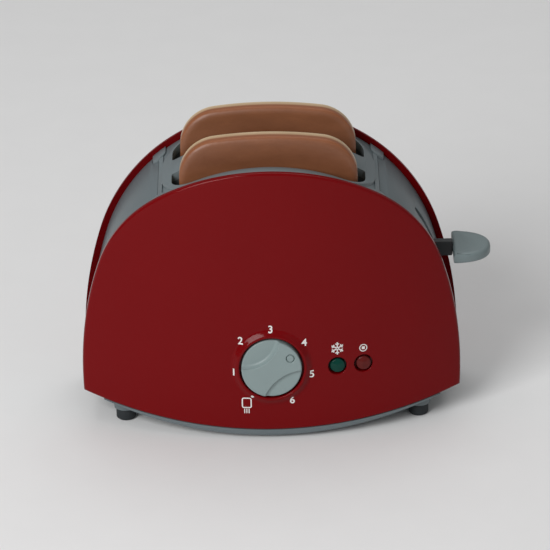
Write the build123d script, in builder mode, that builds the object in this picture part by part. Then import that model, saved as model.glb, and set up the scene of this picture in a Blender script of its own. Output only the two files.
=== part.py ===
"""Toy toaster: two arched shells on a grey body, a spring-lifted carriage and a clockwork timer.

X runs along the toaster with the lever at +X, the front looks to -Y and Z is up.
The pieces are drawn about a point on the table midway between the shells, and written out
about the bottom centre of the whole toaster's bounding box. All sizes are millimetres.
"""

from build123d import *
from math import acos, cos, degrees, pi, radians, sin, sqrt, tan
import os

os.makedirs("parts", exist_ok=True)

# ---------------------------------------------------------------- driving sizes: housing
shell_width = 190.0         # across the bottom corners
shell_rise = 127.0          # bottom corner to crown
corner_height = 15.0        # bottom corners above the table
belly = 10.0                # how far a shell's bottom edge dips below its corners
crown_radius = 101.0        # the arch is three tangent arcs a side
crown_angle = 30.7
shoulder_radius = 77.4
shoulder_angle = 41.1
shell_depth = 98.0          # outside, front to rear, level with the corners
plan_bulge = 26.0           # how far a shell bows out between its corners
shell_lean = 4.0            # degrees that each shell leans in
shell_wall = 2.5
shell_edge = 1.1            # rounding of the shell's outer edge

seam = 0.2                  # gap between neighbouring mouldings
body_inset = 3.5            # how far the grey body lies inside the arch
body_wall = 2.5
keel = 13.0                 # how far the boat bottom dips below the corners
floor_wall = 2.5
rim_height = 9.0            # the floor's upstanding rim
rim_wall = 2.0

deck_margin = 5.0           # deck beyond the ends of the slots
deck_width = 66.0
deck_corner = 26.0
deck_rise = 1.4
parting_margin = 2.0        # deck's ends to the parting lines
slot_length = 96.0          # each bread slot
slot_width = 20.0
slot_corner = 12.0          # at the slot's outer corners
web_width = 16.0            # deck left between the two slots
web_corner = 1.5
bead_width = 2.2            # bead along the parting line
bead_rise = 0.7
tab_length = 9.0            # round-ended tabs at the ends of the bead
tab_width = 6.5
tab_rise = 1.1

# ---------------------------------------------------------------- driving sizes: bread and lift
slice_width = 88.0
slice_height = 88.0
slice_thickness = 9.0
slice_corner = 20.0
slice_foot_corner = 5.0
slice_crown = 5.0           # how far the slice's top edge bows up
slice_show = 11.0           # the slice's top above the shells' crown
slice_edge = 1.6
slice_play = 0.3
rack_floor = 2.0
rack_lip = 5.0
rack_lip_wall = 1.0
rack_length = 80.0
fork_depth = 4.0
fork_width = 6.0
lift_travel = 42.0
well_wall = 1.5
well_bottom = 73.0
web_gap = 2.0               # carriage's upright plate beyond the chutes

rod_gap = 7.5               # guide rod's axis beyond the carriage's upright plate
rod_radius = 2.0
rod_play = 0.06
rod_top = 110.0
rod_socket = 6.0            # how far the rod's top stands in its socket
rod_root = 4.0              # how far its foot stands in the floor
slider_radius = 5.0
slider_bottom = 71.0
slider_height = 20.0
web_plate = 3.0
lever_height = 81.0         # middle of the lever above the table
arm_width = 4.0
arm_depth = 8.0
arm_clamp = 4.0             # how deep the lever's arm stands in the carriage
clamp_wall = 1.5            # wall of the carriage round the arm
paddle_root = 92.0
paddle_reach = 19.0
paddle_half = 17.5
paddle_thickness = 5.0
paddle_top_rounding = 2.0
paddle_foot_rounding = 1.0
catch_height = 3.0          # carriage's catch, above the fork's underside
lever_slot_width = 5.6
lever_slot_above = 18.0     # slot left free above the raised arm
lever_slot_below = 3.0      # and under the lowered arm
lift_wire = 0.8
lift_coil_radius = 3.9
lift_turns = 9

foot_x = 74.0
foot_y = 24.0
foot_radius = 5.0
foot_height = 6.5
foot_pin_radius = 2.0
foot_pin_length = 3.0
base_screw_x = 50.0
boss_radius = 3.4
boss_height = 16.0
boss_sink = 0.5             # how far each screw boss runs into the shell's wall
boss_floor = 2.0            # left solid above each boss's hole
screw_sink = 1.0            # how deep each screw head lies in the floor
foot_boss_wall = 1.0
foot_chamfer = 0.8
floor_bite = 1.0            # how far the floor's bosses and ears start inside it
flange_inset = 0.4          # lip under the shells, behind their outer face
flange_end = 4.0            # lip stops short of the floor's ends
screw_radius = 1.4
screw_head_radius = 2.7
screw_head_height = 1.8

# ---------------------------------------------------------------- driving sizes: dial and timer
dial_height = 39.0
collar_radius = 18.0
collar_proud = 1.5
collar_blend = 1.2
knob_radius = 15.4
knob_gap = 0.7
knob_proud = 3.0            # knob face in front of the shell's front line
knob_pointer = 33.4         # ring mark, degrees above +X
knob_zero = 237.0           # dial angle of the zero dot
scoop_depth = 3.2
scoop_radius = 15.0
scoop_centre = 18.6
scoop_tilt = 8.0
mark_radius = 10.6
mark_ring = 2.1
mark_width = 0.5
mark_depth = 0.4
knob_rounding = 0.7
spindle_gap = 0.4           # round the spindle in the well's floor
cam_seat_radius = 2.0       # spindle's thinner rear end
well_floor_depth = 3.2      # knob well, behind the shell's front line
well_floor_wall = 1.4
spindle_radius = 3.0
pivot_play = 0.05

gear_module = 0.7
addendum_ratio = 0.72       # in modules
dedendum_ratio = 1.05
gear_backlash = 0.16        # tooth thinning at the pitch circle
pressure_angle = 20.0
drive_teeth = 40
second_teeth = 36
pinion_teeth = 10
escape_teeth = 15
escape_radius = 8.0
escape_tooth = 1.8
escape_undercut = 2.0       # degrees
arbor_radius = 0.8

front_plate_depth = 8.2     # depths behind the shell's front line
plate_thickness = 1.2
gear_space = 5.6            # between the plates
gear_thickness = 1.7
gear_play = 0.3             # end play beside a gear
cam_radius = 15.4
cam_thickness = 1.0
cam_lobe = 2.2
cam_lobe_angle = 16.0
cam_lobe_width = 3.0
plate_posts = [(16.0, -12.0), (8.0, 23.0), (-31.0, 21.5), (-29.0, -13.0)]   # in the dial's plane
plate_post_radius = 3.4     # plate's corners round the posts
post_radius = 2.6           # moulded post that each screw bites into
pillar_radius = 2.2
pallet_distance = 11.0
pallet_clearance = 0.6
pallet_thickness = 1.8
pallet_span = 52.0
mainspring_strip = 0.5
mainspring_height = 2.2
mainspring_inner = 3.6
mainspring_pitch = 1.4
mainspring_turns = 5

# ---------------------------------------------------------------- driving sizes: buttons and latch
button_xs = (32.8, 45.8)    # defrost, stop
button_height = 38.0
button_radius = 4.1
button_gap = 0.5
button_proud = 0.6
button_rounding = 1.2
button_flange = 1.0         # how far the flange reaches past the cap
button_flange_wall = 1.0
button_travel = 2.0
button_stem_radius = 1.5
guide_wall = 1.4
guide_depth = 14.0          # guide's face behind the shell's front line
button_seat = 4.0           # seat of each button's flange, behind its face
button_tube_wall = 1.3
guide_screw_spots = [(39.3, 10.0), (54.5, -2.0)]    # x, and height over the buttons
self_tap_length = 3.0
spring_turns = 3
button_wire = 0.35
latch_gap = 1.8             # latch's axis behind the guide's back
hook_length = 3.1
latch_z = 29.0
latch_hub_radius = 2.6
latch_pin_radius = 1.0
latch_wall = 2.0
latch_swing = 10.0          # tripped to engaged, degrees
latch_ear = 2.0
latch_clearance = 0.3
latch_xs = (27.0, 49.0)
latch_arm_width = 7.2
latch_arm_top = 2.5         # above the buttons' middle
finger_wall = 1.2
finger_width = 3.0
finger_height = 4.0
finger_overlap = 1.0        # finger's tip past the cam's lobe
hook_gap = 0.9              # hook over the lowered catch
hook_nose = 0.8
hook_root = 3.4
catch_width = 6.0

# ---------------------------------------------------------------- derived values
half_width = shell_width / 2
deck_length = slot_length + 2 * deck_margin
cover_half = deck_length / 2 + parting_margin               # middle to the parting lines
web_x = slot_length / 2 + well_wall + web_gap               # inner face of the upright plate
rod_x = web_x + web_plate + rod_gap
slot_centre = (web_width + slot_width) / 2
crown_height = corner_height + shell_rise
plan_radius = (half_width**2 + plan_bulge**2) / (2 * plan_bulge)
far = 2 * crown_height                      # longer than anything it cuts
front_wall = Plane(
    origin=(0, -shell_depth / 2, corner_height),
    x_dir=(1, 0, 0),
    z_dir=(0, sin(radians(shell_lean)), cos(radians(shell_lean))),
)


def front_line(height):
    """Y of the front shell's foremost line at a height."""
    return -shell_depth / 2 + (height - corner_height) * tan(radians(shell_lean))


def plan_sag(x):
    """How far a shell has curved back at x."""
    return plan_radius - sqrt(plan_radius**2 - x**2)


def bottom_arc_height(x, dip):
    """Height of an arc that spans the shell's corners and dips below them."""
    radius = (half_width**2 + dip**2) / (2 * dip)
    return corner_height + radius - dip - sqrt(radius**2 - x**2)


def faced_plane(x, height):
    """Plane on the front shell's foremost line, facing out square to the lean."""
    return Plane(
        origin=(x, front_line(height), height),
        x_dir=(1, 0, 0),
        z_dir=(0, -cos(radians(shell_lean)), sin(radians(shell_lean))),
    )


def arch_outline(inset=0.0, mode=Mode.ADD):
    """The arch, carried straight down below its corners, offset inwards by inset."""
    with BuildSketch(mode=Mode.PRIVATE) as outline:
        with BuildLine():
            crown = JernArc((0, crown_height), (1, 0), crown_radius, -crown_angle)
            shoulder = JernArc(crown @ 1, crown % 1, shoulder_radius, -shoulder_angle)
            side = TangentArc(shoulder @ 1, (half_width, corner_height), tangent=shoulder % 1)
            Polyline(side @ 1, (half_width, -far), (0, -far))
            mirror(about=Plane.YZ)
        make_face()
        if inset > 0:
            offset(amount=-inset, kind=Kind.INTERSECTION)
    return outline.sketch


def above_arc(dip, lift=0.0):
    """Everything above the bottom arc with this dip, raised by lift."""
    with BuildSketch(mode=Mode.PRIVATE) as outline:
        with BuildLine():
            low = ThreePointArc(
                (-half_width, corner_height + lift),
                (0, corner_height + lift - dip),
                (half_width, corner_height + lift),
            )
            Polyline(low @ 1, (far, corner_height + lift), (far, far), (-far, far),
                     (-far, corner_height + lift), low @ 0)
        make_face()
    return outline.sketch


def between_shells(gap):
    """The space between the two leaning shells, kept clear of their inner faces by gap."""
    with BuildPart() as space:
        with BuildSketch(front_wall):
            with Locations((0, plan_radius)):
                Circle(plan_radius - shell_wall - gap)
        extrude(amount=far, both=True)
        mirror(about=Plane.XZ, mode=Mode.INTERSECT)
    return space.part


pieces = {}


def save(piece, name):
    """Keeps a finished piece under its name."""
    pieces[name] = piece


dial_plane = faced_plane(0, dial_height)
guide_plane = faced_plane(0, button_height).offset(-guide_depth)
latch_y = front_line(button_height) + guide_depth + guide_wall + latch_gap
hook_tip = latch_y + hook_length                            # while the latch is tripped
catch_reach = -hook_tip - latch_clearance - slot_centre - fork_width / 2
hook_start = latch_xs[0] + finger_width - latch_pin_radius
catch_start = latch_xs[0] + finger_width + 2 * latch_clearance
button_planes = []
for button_x in button_xs:
    facing = faced_plane(button_x, button_height)
    button_planes.append(facing.offset(-plan_sag(button_x)))

# ---------------------------------------------------------------- shells
boss_y = shell_depth / 2 - plan_sag(base_screw_x) - shell_wall - boss_radius + boss_sink
boss_bottom = bottom_arc_height(base_screw_x + boss_radius, keel) + floor_wall + seam
collar_depth = well_floor_depth + well_floor_wall
button_tube_radius = button_radius + button_gap + button_tube_wall

with BuildPart() as panel:
    with BuildSketch(front_wall):
        with Locations((0, plan_radius)):
            Circle(plan_radius)
            Circle(plan_radius - shell_wall, mode=Mode.SUBTRACT)
    extrude(amount=far, both=True)
    with BuildSketch(Plane.XZ):
        add(arch_outline())
        add(above_arc(belly), mode=Mode.INTERSECT)
    extrude(amount=shell_depth, mode=Mode.INTERSECT)
    outer_face = panel.faces().sort_by(Axis.Y)[0]
    fillet(outer_face.edges(), radius=shell_edge)
    with BuildSketch(Plane.XY.offset(boss_bottom)):
        with Locations((-base_screw_x, -boss_y), (base_screw_x, -boss_y)):
            Circle(boss_radius)
    extrude(amount=boss_height)
    with BuildSketch(Plane.XY.offset(boss_bottom)):
        with Locations((-base_screw_x, -boss_y), (base_screw_x, -boss_y)):
            Circle(screw_radius)
    extrude(amount=boss_height - boss_floor, mode=Mode.SUBTRACT)

with BuildPart() as rear_shell:
    mirror(panel.part, about=Plane.XZ)

with BuildPart() as front_posts:            # screw bosses for the timer and the button guide
    with BuildSketch(dial_plane.offset(-front_plate_depth)):
        with Locations(*plate_posts):
            Circle(post_radius)
    extrude(amount=front_plate_depth)
    with BuildSketch(guide_plane):
        with Locations(*guide_screw_spots):
            Circle(post_radius)
    extrude(amount=guide_depth)
    add(between_shells(-shell_wall / 2), mode=Mode.INTERSECT)

with BuildPart() as front_shell:
    add(panel.part)
    # round collar and the well that the knob sits in
    with BuildSketch(dial_plane.offset(collar_proud)):
        Circle(collar_radius)
    extrude(amount=-(collar_proud + collar_depth))
    collar_side = front_shell.faces(Select.LAST).filter_by(GeomType.CYLINDER).sort_by(Axis.Y)[0]
    fillet(collar_side.edges().filter_by(GeomType.LINE, reverse=True), radius=collar_blend / 2)
    with BuildSketch(dial_plane.offset(collar_proud)):
        Circle(knob_radius + knob_gap)
    extrude(amount=-(collar_proud + well_floor_depth), mode=Mode.SUBTRACT)
    with BuildSketch(dial_plane):
        Circle(spindle_radius + spindle_gap)
    extrude(amount=-2 * collar_depth, mode=Mode.SUBTRACT)
    # button tubes, open at the front
    for plane in button_planes:
        with BuildSketch(plane.offset(-shell_wall)):
            Circle(button_tube_radius)
        extrude(amount=-(button_seat - shell_wall))
        with BuildSketch(plane.offset(collar_proud)):
            Circle(button_radius + button_gap)
        extrude(amount=-(collar_proud + 2 * button_seat), mode=Mode.SUBTRACT)
    add(front_posts.part)
    with BuildSketch(dial_plane.offset(-front_plate_depth)):
        with Locations(*plate_posts):
            Circle(arbor_radius)
    extrude(amount=front_plate_depth / 2, mode=Mode.SUBTRACT)
    with BuildSketch(guide_plane):
        with Locations(*guide_screw_spots):
            Circle(arbor_radius)
    extrude(amount=front_plate_depth / 2, mode=Mode.SUBTRACT)
save(front_shell.part, "front_shell")
save(rear_shell.part, "rear_shell")

# ---------------------------------------------------------------- grey body
core = between_shells(seam)
inner_end = half_width - body_inset - body_wall - seam      # inside face of the end covers
lever_low = lever_height - lift_travel - arm_depth / 2 - lever_slot_below
lever_high = lever_height + arm_depth / 2 + lever_slot_above


def arch_band(outside, inside):
    """Part of the body between two offsets of the arch."""
    with BuildPart() as band:
        add(core)
        with BuildSketch(Plane.XZ):
            add(arch_outline(outside))
            add(arch_outline(inside), mode=Mode.SUBTRACT)
        extrude(amount=shell_depth, both=True, mode=Mode.INTERSECT)
    return band.part


def bread_slot(grow=0.0):
    """Outline of the rear bread slot: straight beside the web, big corners outside."""
    near = web_width / 2 - grow
    outer = web_width / 2 + slot_width + grow
    end = slot_length / 2 + grow
    corner = slot_corner + grow
    with BuildSketch(mode=Mode.PRIVATE) as slot:
        with BuildLine():
            FilletPolyline(
                (0, near), (end, near), (end, outer), (0, outer),
                radius=[web_corner, corner],
            )
            mirror(about=Plane.YZ)
        make_face()
    return slot.sketch


cover_band = arch_band(body_inset, body_inset + body_wall)
deck_band = arch_band(body_inset - deck_rise, body_inset + body_wall)
bead_band = arch_band(body_inset - bead_rise, body_inset + body_wall)
tab_band = arch_band(body_inset - tab_rise, body_inset + body_wall)
parting_height = crown_height - crown_radius + sqrt(crown_radius**2 - cover_half**2)
parting_depth = -front_line(parting_height) - plan_sag(cover_half) - shell_wall


def tab_outline(grow=0.0):
    """The four round-ended tabs, reaching in from the shells across the parting lines."""
    with BuildSketch(mode=Mode.PRIVATE) as tabs:
        with GridLocations(2 * cover_half, 2 * (parting_depth - tab_length / 2 + tab_width / 2), 2, 2):
            SlotOverall(tab_length + tab_width + 2 * grow, tab_width + 2 * grow, rotation=90)
    return tabs.sketch


with BuildPart() as deck:
    add(deck_band)
    with BuildSketch():
        RectangleRounded(deck_length, deck_width, deck_corner)
    extrude(amount=far, mode=Mode.INTERSECT)
with BuildPart() as beads:
    add(bead_band)
    with BuildSketch():
        with Locations((-cover_half, 0), (cover_half, 0)):
            Rectangle(2 * bead_width, 2 * shell_depth)
        Rectangle(2 * (cover_half - seam / 2), 2 * shell_depth, mode=Mode.INTERSECT)
    extrude(amount=far, mode=Mode.INTERSECT)
with BuildPart() as tabs:
    add(tab_band)
    with BuildSketch():
        add(tab_outline())
    extrude(amount=far, mode=Mode.INTERSECT)
with BuildPart() as top_cover:
    add(cover_band)
    with BuildSketch():
        Rectangle(2 * (cover_half - seam / 2), 2 * shell_depth)
    extrude(amount=far, mode=Mode.INTERSECT)
    add(deck.part)
    add(beads.part)
    add(tabs.part)
    with BuildSketch():
        add(bread_slot())
        mirror(about=Plane.XZ)
    extrude(amount=far, mode=Mode.SUBTRACT)
save(top_cover.part, "top_cover")

with BuildPart() as end_cover:
    add(cover_band)
    with BuildSketch():
        with Locations((half_width, 0)):
            Rectangle(2 * (half_width - cover_half - seam / 2), 2 * shell_depth)
    extrude(amount=far, mode=Mode.INTERSECT)
    with BuildSketch(Plane.XZ):
        add(above_arc(keel))
    extrude(amount=shell_depth, both=True, mode=Mode.INTERSECT)
    with BuildSketch():
        add(tab_outline(grow=seam))
    extrude(amount=far, mode=Mode.SUBTRACT)

with BuildPart() as left_end_cover:
    mirror(end_cover.part, about=Plane.YZ)
save(left_end_cover.part, "left_end_cover")

with BuildPart() as socket_block:           # carries the top of the guide rod
    add(core)
    with BuildSketch(Plane.XZ):
        add(arch_outline(body_inset + body_wall / 2))
    extrude(amount=slider_radius, both=True, mode=Mode.INTERSECT)
    with BuildSketch(Plane.XY.offset(rod_top - rod_socket)):
        with Locations((rod_x + slider_radius, 0)):
            SlotOverall(4 * slider_radius, 2 * slider_radius)
    extrude(amount=rod_socket + slider_radius, mode=Mode.INTERSECT)

with BuildPart() as right_end_cover:
    add(end_cover.part)
    add(socket_block.part)
    with BuildSketch(Plane.XY.offset(rod_top)):
        with Locations((rod_x, 0)):
            Circle(rod_radius + pivot_play)
    extrude(amount=-2 * rod_top, mode=Mode.SUBTRACT)
    with BuildSketch(Plane.YZ.offset(cover_half)):
        with Locations((0, (lever_low + lever_high) / 2)):
            SlotOverall(lever_high - lever_low, lever_slot_width, rotation=90)
    extrude(amount=half_width, mode=Mode.SUBTRACT)
save(right_end_cover.part, "right_end_cover")

# ---------------------------------------------------------------- floor
foot_spots = [(x, y) for x in (-foot_x, foot_x) for y in (-foot_y, foot_y)]
screw_spots = [(x, y) for x in (-base_screw_x, base_screw_x) for y in (-boss_y, boss_y)]
screw_seat = bottom_arc_height(base_screw_x, keel) + screw_sink
rod_foot = bottom_arc_height(rod_x, keel) + floor_wall + rod_root
ear_xs = (latch_xs[0] - seam - latch_ear, latch_xs[1] + seam)

with BuildPart() as flange:                 # lip under the shells' bottom edges
    add(between_shells(flange_inset - shell_wall))
    with BuildSketch(Plane.XZ):
        add(above_arc(keel))
        add(above_arc(belly, -seam), mode=Mode.SUBTRACT)
        Rectangle(2 * (inner_end - flange_end), far, mode=Mode.INTERSECT)
    extrude(amount=shell_depth, both=True, mode=Mode.INTERSECT)

with BuildPart() as tray_hollow:
    add(between_shells(seam + rim_wall))
    with BuildSketch(Plane.XZ):
        add(above_arc(keel, floor_wall))
        Rectangle(2 * (inner_end - rim_wall), far, mode=Mode.INTERSECT)
    extrude(amount=shell_depth, both=True, mode=Mode.INTERSECT)

with BuildPart() as base_plate:
    add(core)
    with BuildSketch(Plane.XZ):
        add(above_arc(keel))
        add(above_arc(keel, rim_height), mode=Mode.SUBTRACT)
        Rectangle(2 * inner_end, far, mode=Mode.INTERSECT)
    extrude(amount=shell_depth, both=True, mode=Mode.INTERSECT)
    add(tray_hollow.part, mode=Mode.SUBTRACT)
    add(flange.part)
    # room for the shells' screw bosses, then the screw holes
    with BuildSketch(Plane.XY.offset(boss_bottom - seam)):
        with Locations(*screw_spots):
            Circle(boss_radius + seam)
    extrude(amount=rim_height, mode=Mode.SUBTRACT)
    with BuildSketch(Plane.XY.offset(screw_seat)):
        with Locations(*screw_spots):
            Circle(screw_head_radius + seam)
    extrude(amount=-keel, mode=Mode.SUBTRACT)
    with BuildSketch():
        with Locations(*screw_spots):
            Circle(screw_radius + seam)
    extrude(amount=boss_bottom, mode=Mode.SUBTRACT)
    # foot bosses with their sockets
    with BuildSketch(Plane.XY.offset(foot_height)):
        with Locations(*foot_spots):
            Circle(foot_radius + foot_boss_wall)
    extrude(amount=bottom_arc_height(foot_x, keel) + floor_wall - foot_height)
    with BuildSketch(Plane.XY.offset(foot_height)):
        with Locations(*foot_spots):
            Circle(foot_pin_radius + pivot_play)
    extrude(amount=foot_pin_length + seam, mode=Mode.SUBTRACT)
    # seat of the guide rod
    with BuildSketch(Plane.XY.offset(bottom_arc_height(rod_x, keel) + floor_bite)):
        with Locations((rod_x, 0)):
            Circle(slider_radius)
    extrude(amount=rod_foot - bottom_arc_height(rod_x, keel) - floor_bite)
    with BuildSketch(Plane.XY.offset(rod_foot)):
        with Locations((rod_x, 0)):
            Circle(rod_radius + pivot_play)
    extrude(amount=-rod_root, mode=Mode.SUBTRACT)
    # ears for the latch pin
    for ear_x in ear_xs:
        ear_foot = bottom_arc_height(ear_x + latch_ear, keel) + floor_bite
        with BuildSketch(Plane.YZ.offset(ear_x)):
            with Locations((latch_y, latch_z)):
                Circle(latch_hub_radius)
            with Locations((latch_y, (latch_z + ear_foot) / 2)):
                Rectangle(2 * latch_hub_radius, latch_z - ear_foot)
            with Locations((latch_y, latch_z)):
                Circle(latch_pin_radius + pivot_play, mode=Mode.SUBTRACT)
        extrude(amount=latch_ear)
save(base_plate.part, "base_plate")

with BuildPart() as feet:
    with BuildSketch():
        with Locations(*foot_spots):
            Circle(foot_radius)
    extrude(amount=foot_height)
    chamfer(feet.faces().sort_by(Axis.Z)[0:4].edges(), length=foot_chamfer)
    with BuildSketch(Plane.XY.offset(foot_height)):
        with Locations(*foot_spots):
            Circle(foot_pin_radius)
    extrude(amount=foot_pin_length)
save(feet.part, "feet")

with BuildPart() as base_screws:
    with BuildSketch(Plane.XY.offset(screw_seat)):
        with Locations(*screw_spots):
            Circle(screw_head_radius)
    extrude(amount=-screw_head_height)
    with BuildSketch(Plane.XY.offset(screw_seat)):
        with Locations(*screw_spots):
            Circle(screw_radius - pivot_play)
    extrude(amount=boss_height / 2)
save(base_screws.part, "base_screws")

# ---------------------------------------------------------------- chutes under the slots
with BuildPart() as bread_well_rear:
    with BuildSketch(Plane.XY.offset(well_bottom)):
        add(bread_slot(well_wall))
        add(bread_slot(), mode=Mode.SUBTRACT)
    extrude(amount=crown_height)
    with BuildSketch(Plane.XZ):
        add(arch_outline(body_inset + body_wall))
    extrude(amount=shell_depth, both=True, mode=Mode.INTERSECT)
    add(core, mode=Mode.INTERSECT)
with BuildPart() as bread_well_front:
    mirror(bread_well_rear.part, about=Plane.XZ)
save(bread_well_rear.part, "bread_well_rear")
save(bread_well_front.part, "bread_well_front")

# ---------------------------------------------------------------- slices
slice_top = crown_height + slice_show
slice_bottom = slice_top - slice_height


def toast_slice(y):
    """A slice standing on its edge, with a bowed top and rounded shoulders."""
    with BuildPart() as toast:
        with BuildSketch(Plane.XZ.offset(-y - slice_thickness / 2)):
            with BuildLine():
                bow = ThreePointArc(
                    (-slice_width / 2, slice_top - slice_crown),
                    (0, slice_top),
                    (slice_width / 2, slice_top - slice_crown),
                )
                Polyline(
                    bow @ 1,
                    (slice_width / 2, slice_bottom),
                    (-slice_width / 2, slice_bottom),
                    bow @ 0,
                )
            make_face()
        extrude(amount=slice_thickness)
        uprights = toast.edges().filter_by(Axis.Y).group_by(Axis.Z)
        fillet(uprights[-1], radius=slice_corner)
        fillet(uprights[0], radius=slice_foot_corner)
        flats = toast.faces().filter_by(Axis.Y)
        fillet(flats.edges(), radius=slice_edge)
    return toast.part


slice_rear = toast_slice(slot_centre)
slice_front = toast_slice(-slot_centre)
save(slice_rear, "toast_slice_rear")
save(slice_front, "toast_slice_front")

# ---------------------------------------------------------------- carriage
rack_half = slice_thickness / 2 + slice_play + rack_lip_wall
rack_bottom = slice_bottom - rack_floor
fork_bottom = rack_bottom - fork_depth
fork_end = rack_length / 2
slider_top = slider_bottom + slider_height
arm_start = rod_x + slider_radius - 1
arm_end = paddle_root + paddle_reach / 3
latch_shift = (button_height + button_stem_radius - latch_z) * sin(radians(latch_swing))
latch_arm_face = latch_y + 2 * latch_clearance


def bread_rack(y):
    """Trough that a slice stands in."""
    with BuildPart() as rack:
        with BuildSketch(Plane.YZ.offset(-rack_length / 2)):
            with Locations((y, rack_bottom)):
                Rectangle(2 * rack_half, rack_floor + rack_lip, align=(Align.CENTER, Align.MIN))
            with Locations((y, slice_bottom)):
                Rectangle(
                    slice_thickness + 2 * slice_play, rack_lip,
                    align=(Align.CENTER, Align.MIN), mode=Mode.SUBTRACT,
                )
        extrude(amount=rack_length)
        fillet(rack.edges().filter_by(Axis.Y).group_by(Axis.Z)[-1], radius=rack_lip / 2)
    return rack.part


rack_rear = bread_rack(slot_centre)
rack_front = bread_rack(-slot_centre)
save(rack_rear, "bread_rack_rear")
save(rack_front, "bread_rack_front")

with BuildPart() as carriage:
    with BuildSketch(Plane.XY.offset(fork_bottom)):
        for y in (-slot_centre, slot_centre):
            with Locations((-fork_end, y)):
                Rectangle(fork_end + web_x + web_plate, fork_width, align=(Align.MIN, Align.CENTER))
    extrude(amount=fork_depth)
    with BuildSketch(Plane.XY.offset(fork_bottom)):
        with Locations((web_x, 0)):
            Rectangle(web_plate, 2 * slot_centre + fork_width, align=(Align.MIN, Align.CENTER))
    extrude(amount=slider_top - fork_bottom)
    # catch that the latch hooks over, passing beside the cam finger's arm
    with BuildSketch(Plane.XY.offset(fork_bottom)):
        with Locations((catch_start, -slot_centre)):
            Rectangle(
                hook_start + catch_width - catch_start, fork_width / 2 + catch_reach,
                align=(Align.MIN, Align.MAX),
            )
    extrude(amount=catch_height)
    # slider and its neck
    with BuildSketch(Plane.XY.offset(slider_bottom)):
        with Locations((rod_x, 0)):
            Circle(slider_radius)
        with Locations((web_x + web_plate, 0)):
            Rectangle(rod_gap, arm_width + 2 * clamp_wall, align=(Align.MIN, Align.CENTER))
    extrude(amount=slider_height)
    with BuildSketch(Plane.XY.offset(lever_height)):
        with Locations((rod_x, 0)):
            Rectangle(
                slider_radius - 1 + arm_clamp, arm_width + 2 * clamp_wall,
                align=(Align.MIN, Align.CENTER),
            )
    extrude(amount=arm_depth / 2 + clamp_wall, both=True)
    with BuildSketch(Plane.XY.offset(slider_bottom)):
        with Locations((rod_x, 0)):
            Circle(rod_radius + rod_play)
    extrude(amount=slider_height, mode=Mode.SUBTRACT)
    with BuildSketch(Plane.XY.offset(lever_height)):
        with Locations((arm_start, 0)):
            Rectangle(2 * arm_clamp, arm_width + 2 * pivot_play, align=(Align.MIN, Align.CENTER))
    extrude(amount=arm_depth / 2 + pivot_play, both=True, mode=Mode.SUBTRACT)
save(carriage.part, "carriage")

with BuildPart() as lever_arm:
    with BuildSketch(Plane.XY.offset(lever_height)):
        with Locations((arm_start, 0)):
            Rectangle(arm_end - arm_start, arm_width, align=(Align.MIN, Align.CENTER))
    extrude(amount=arm_depth / 2, both=True)
save(lever_arm.part, "lever_arm")

with BuildPart() as lever_paddle:
    with BuildSketch(Plane.XY.offset(lever_height - paddle_thickness / 2)):
        with Locations((paddle_root, 0)):
            Ellipse(paddle_reach, paddle_half)
            Rectangle(paddle_reach, 2 * paddle_half, align=(Align.MIN, Align.CENTER), mode=Mode.INTERSECT)
    extrude(amount=paddle_thickness)
    fillet(lever_paddle.faces().sort_by(Axis.Z)[-1].edges(), radius=paddle_top_rounding)
    fillet(lever_paddle.faces().sort_by(Axis.Z)[0].edges(), radius=paddle_foot_rounding)
    with BuildSketch(Plane.YZ.offset(paddle_root)):
        with Locations((0, lever_height)):
            Rectangle(arm_width + 2 * pivot_play, arm_depth + 2 * pivot_play)
    extrude(amount=arm_end - paddle_root, mode=Mode.SUBTRACT)
save(lever_paddle.part, "lever_paddle")

with BuildPart() as guide_rod:
    with BuildSketch(Plane.XY.offset(rod_foot - rod_root)):
        with Locations((rod_x, 0)):
            Circle(rod_radius)
    extrude(amount=rod_top - rod_foot + rod_root)
save(guide_rod.part, "guide_rod")


def coil(foot, height, coil_radius, wire, turns):
    """Open coil spring standing on the plane foot, its wire clear of both ends."""
    lowest = foot.offset(wire / 2)
    with BuildPart() as spring:
        with BuildLine():
            path = Helix(
                (height - wire) / turns, height - wire, coil_radius,
                center=lowest.origin, direction=lowest.z_dir,
            )
        with BuildSketch(Plane(path @ 0, z_dir=path % 0)):
            RegularPolygon(wire / 2, 6)
        sweep(path=path, is_frenet=True)
    return spring.part


lift_spring = coil(
    Plane((rod_x, 0, rod_foot + seam / 2)), slider_bottom - rod_foot - seam,
    lift_coil_radius, lift_wire, lift_turns,
)
save(lift_spring, "lift_spring")

# ---------------------------------------------------------------- dial and its spindle
gear_floor = front_plate_depth + plate_thickness            # depths behind the front line
rear_plate_depth = gear_floor + gear_space
cam_depth = rear_plate_depth + plate_thickness + seam
drive_level = gear_floor + gear_play
second_level = drive_level + gear_thickness + gear_play
drive_radius = gear_module * drive_teeth / 2
second_radius = gear_module * second_teeth / 2
pinion_radius = gear_module * pinion_teeth / 2
second_arbor = (-(drive_radius + pinion_radius), 0.0)
escape_arbor = (second_arbor[0], second_radius + pinion_radius)
pallet_arbor = (escape_arbor[0] - pallet_distance, escape_arbor[1])


def polar(radius, angle):
    """Point at a radius and an angle in degrees."""
    return radius * cos(radians(angle)), radius * sin(radians(angle))


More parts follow.
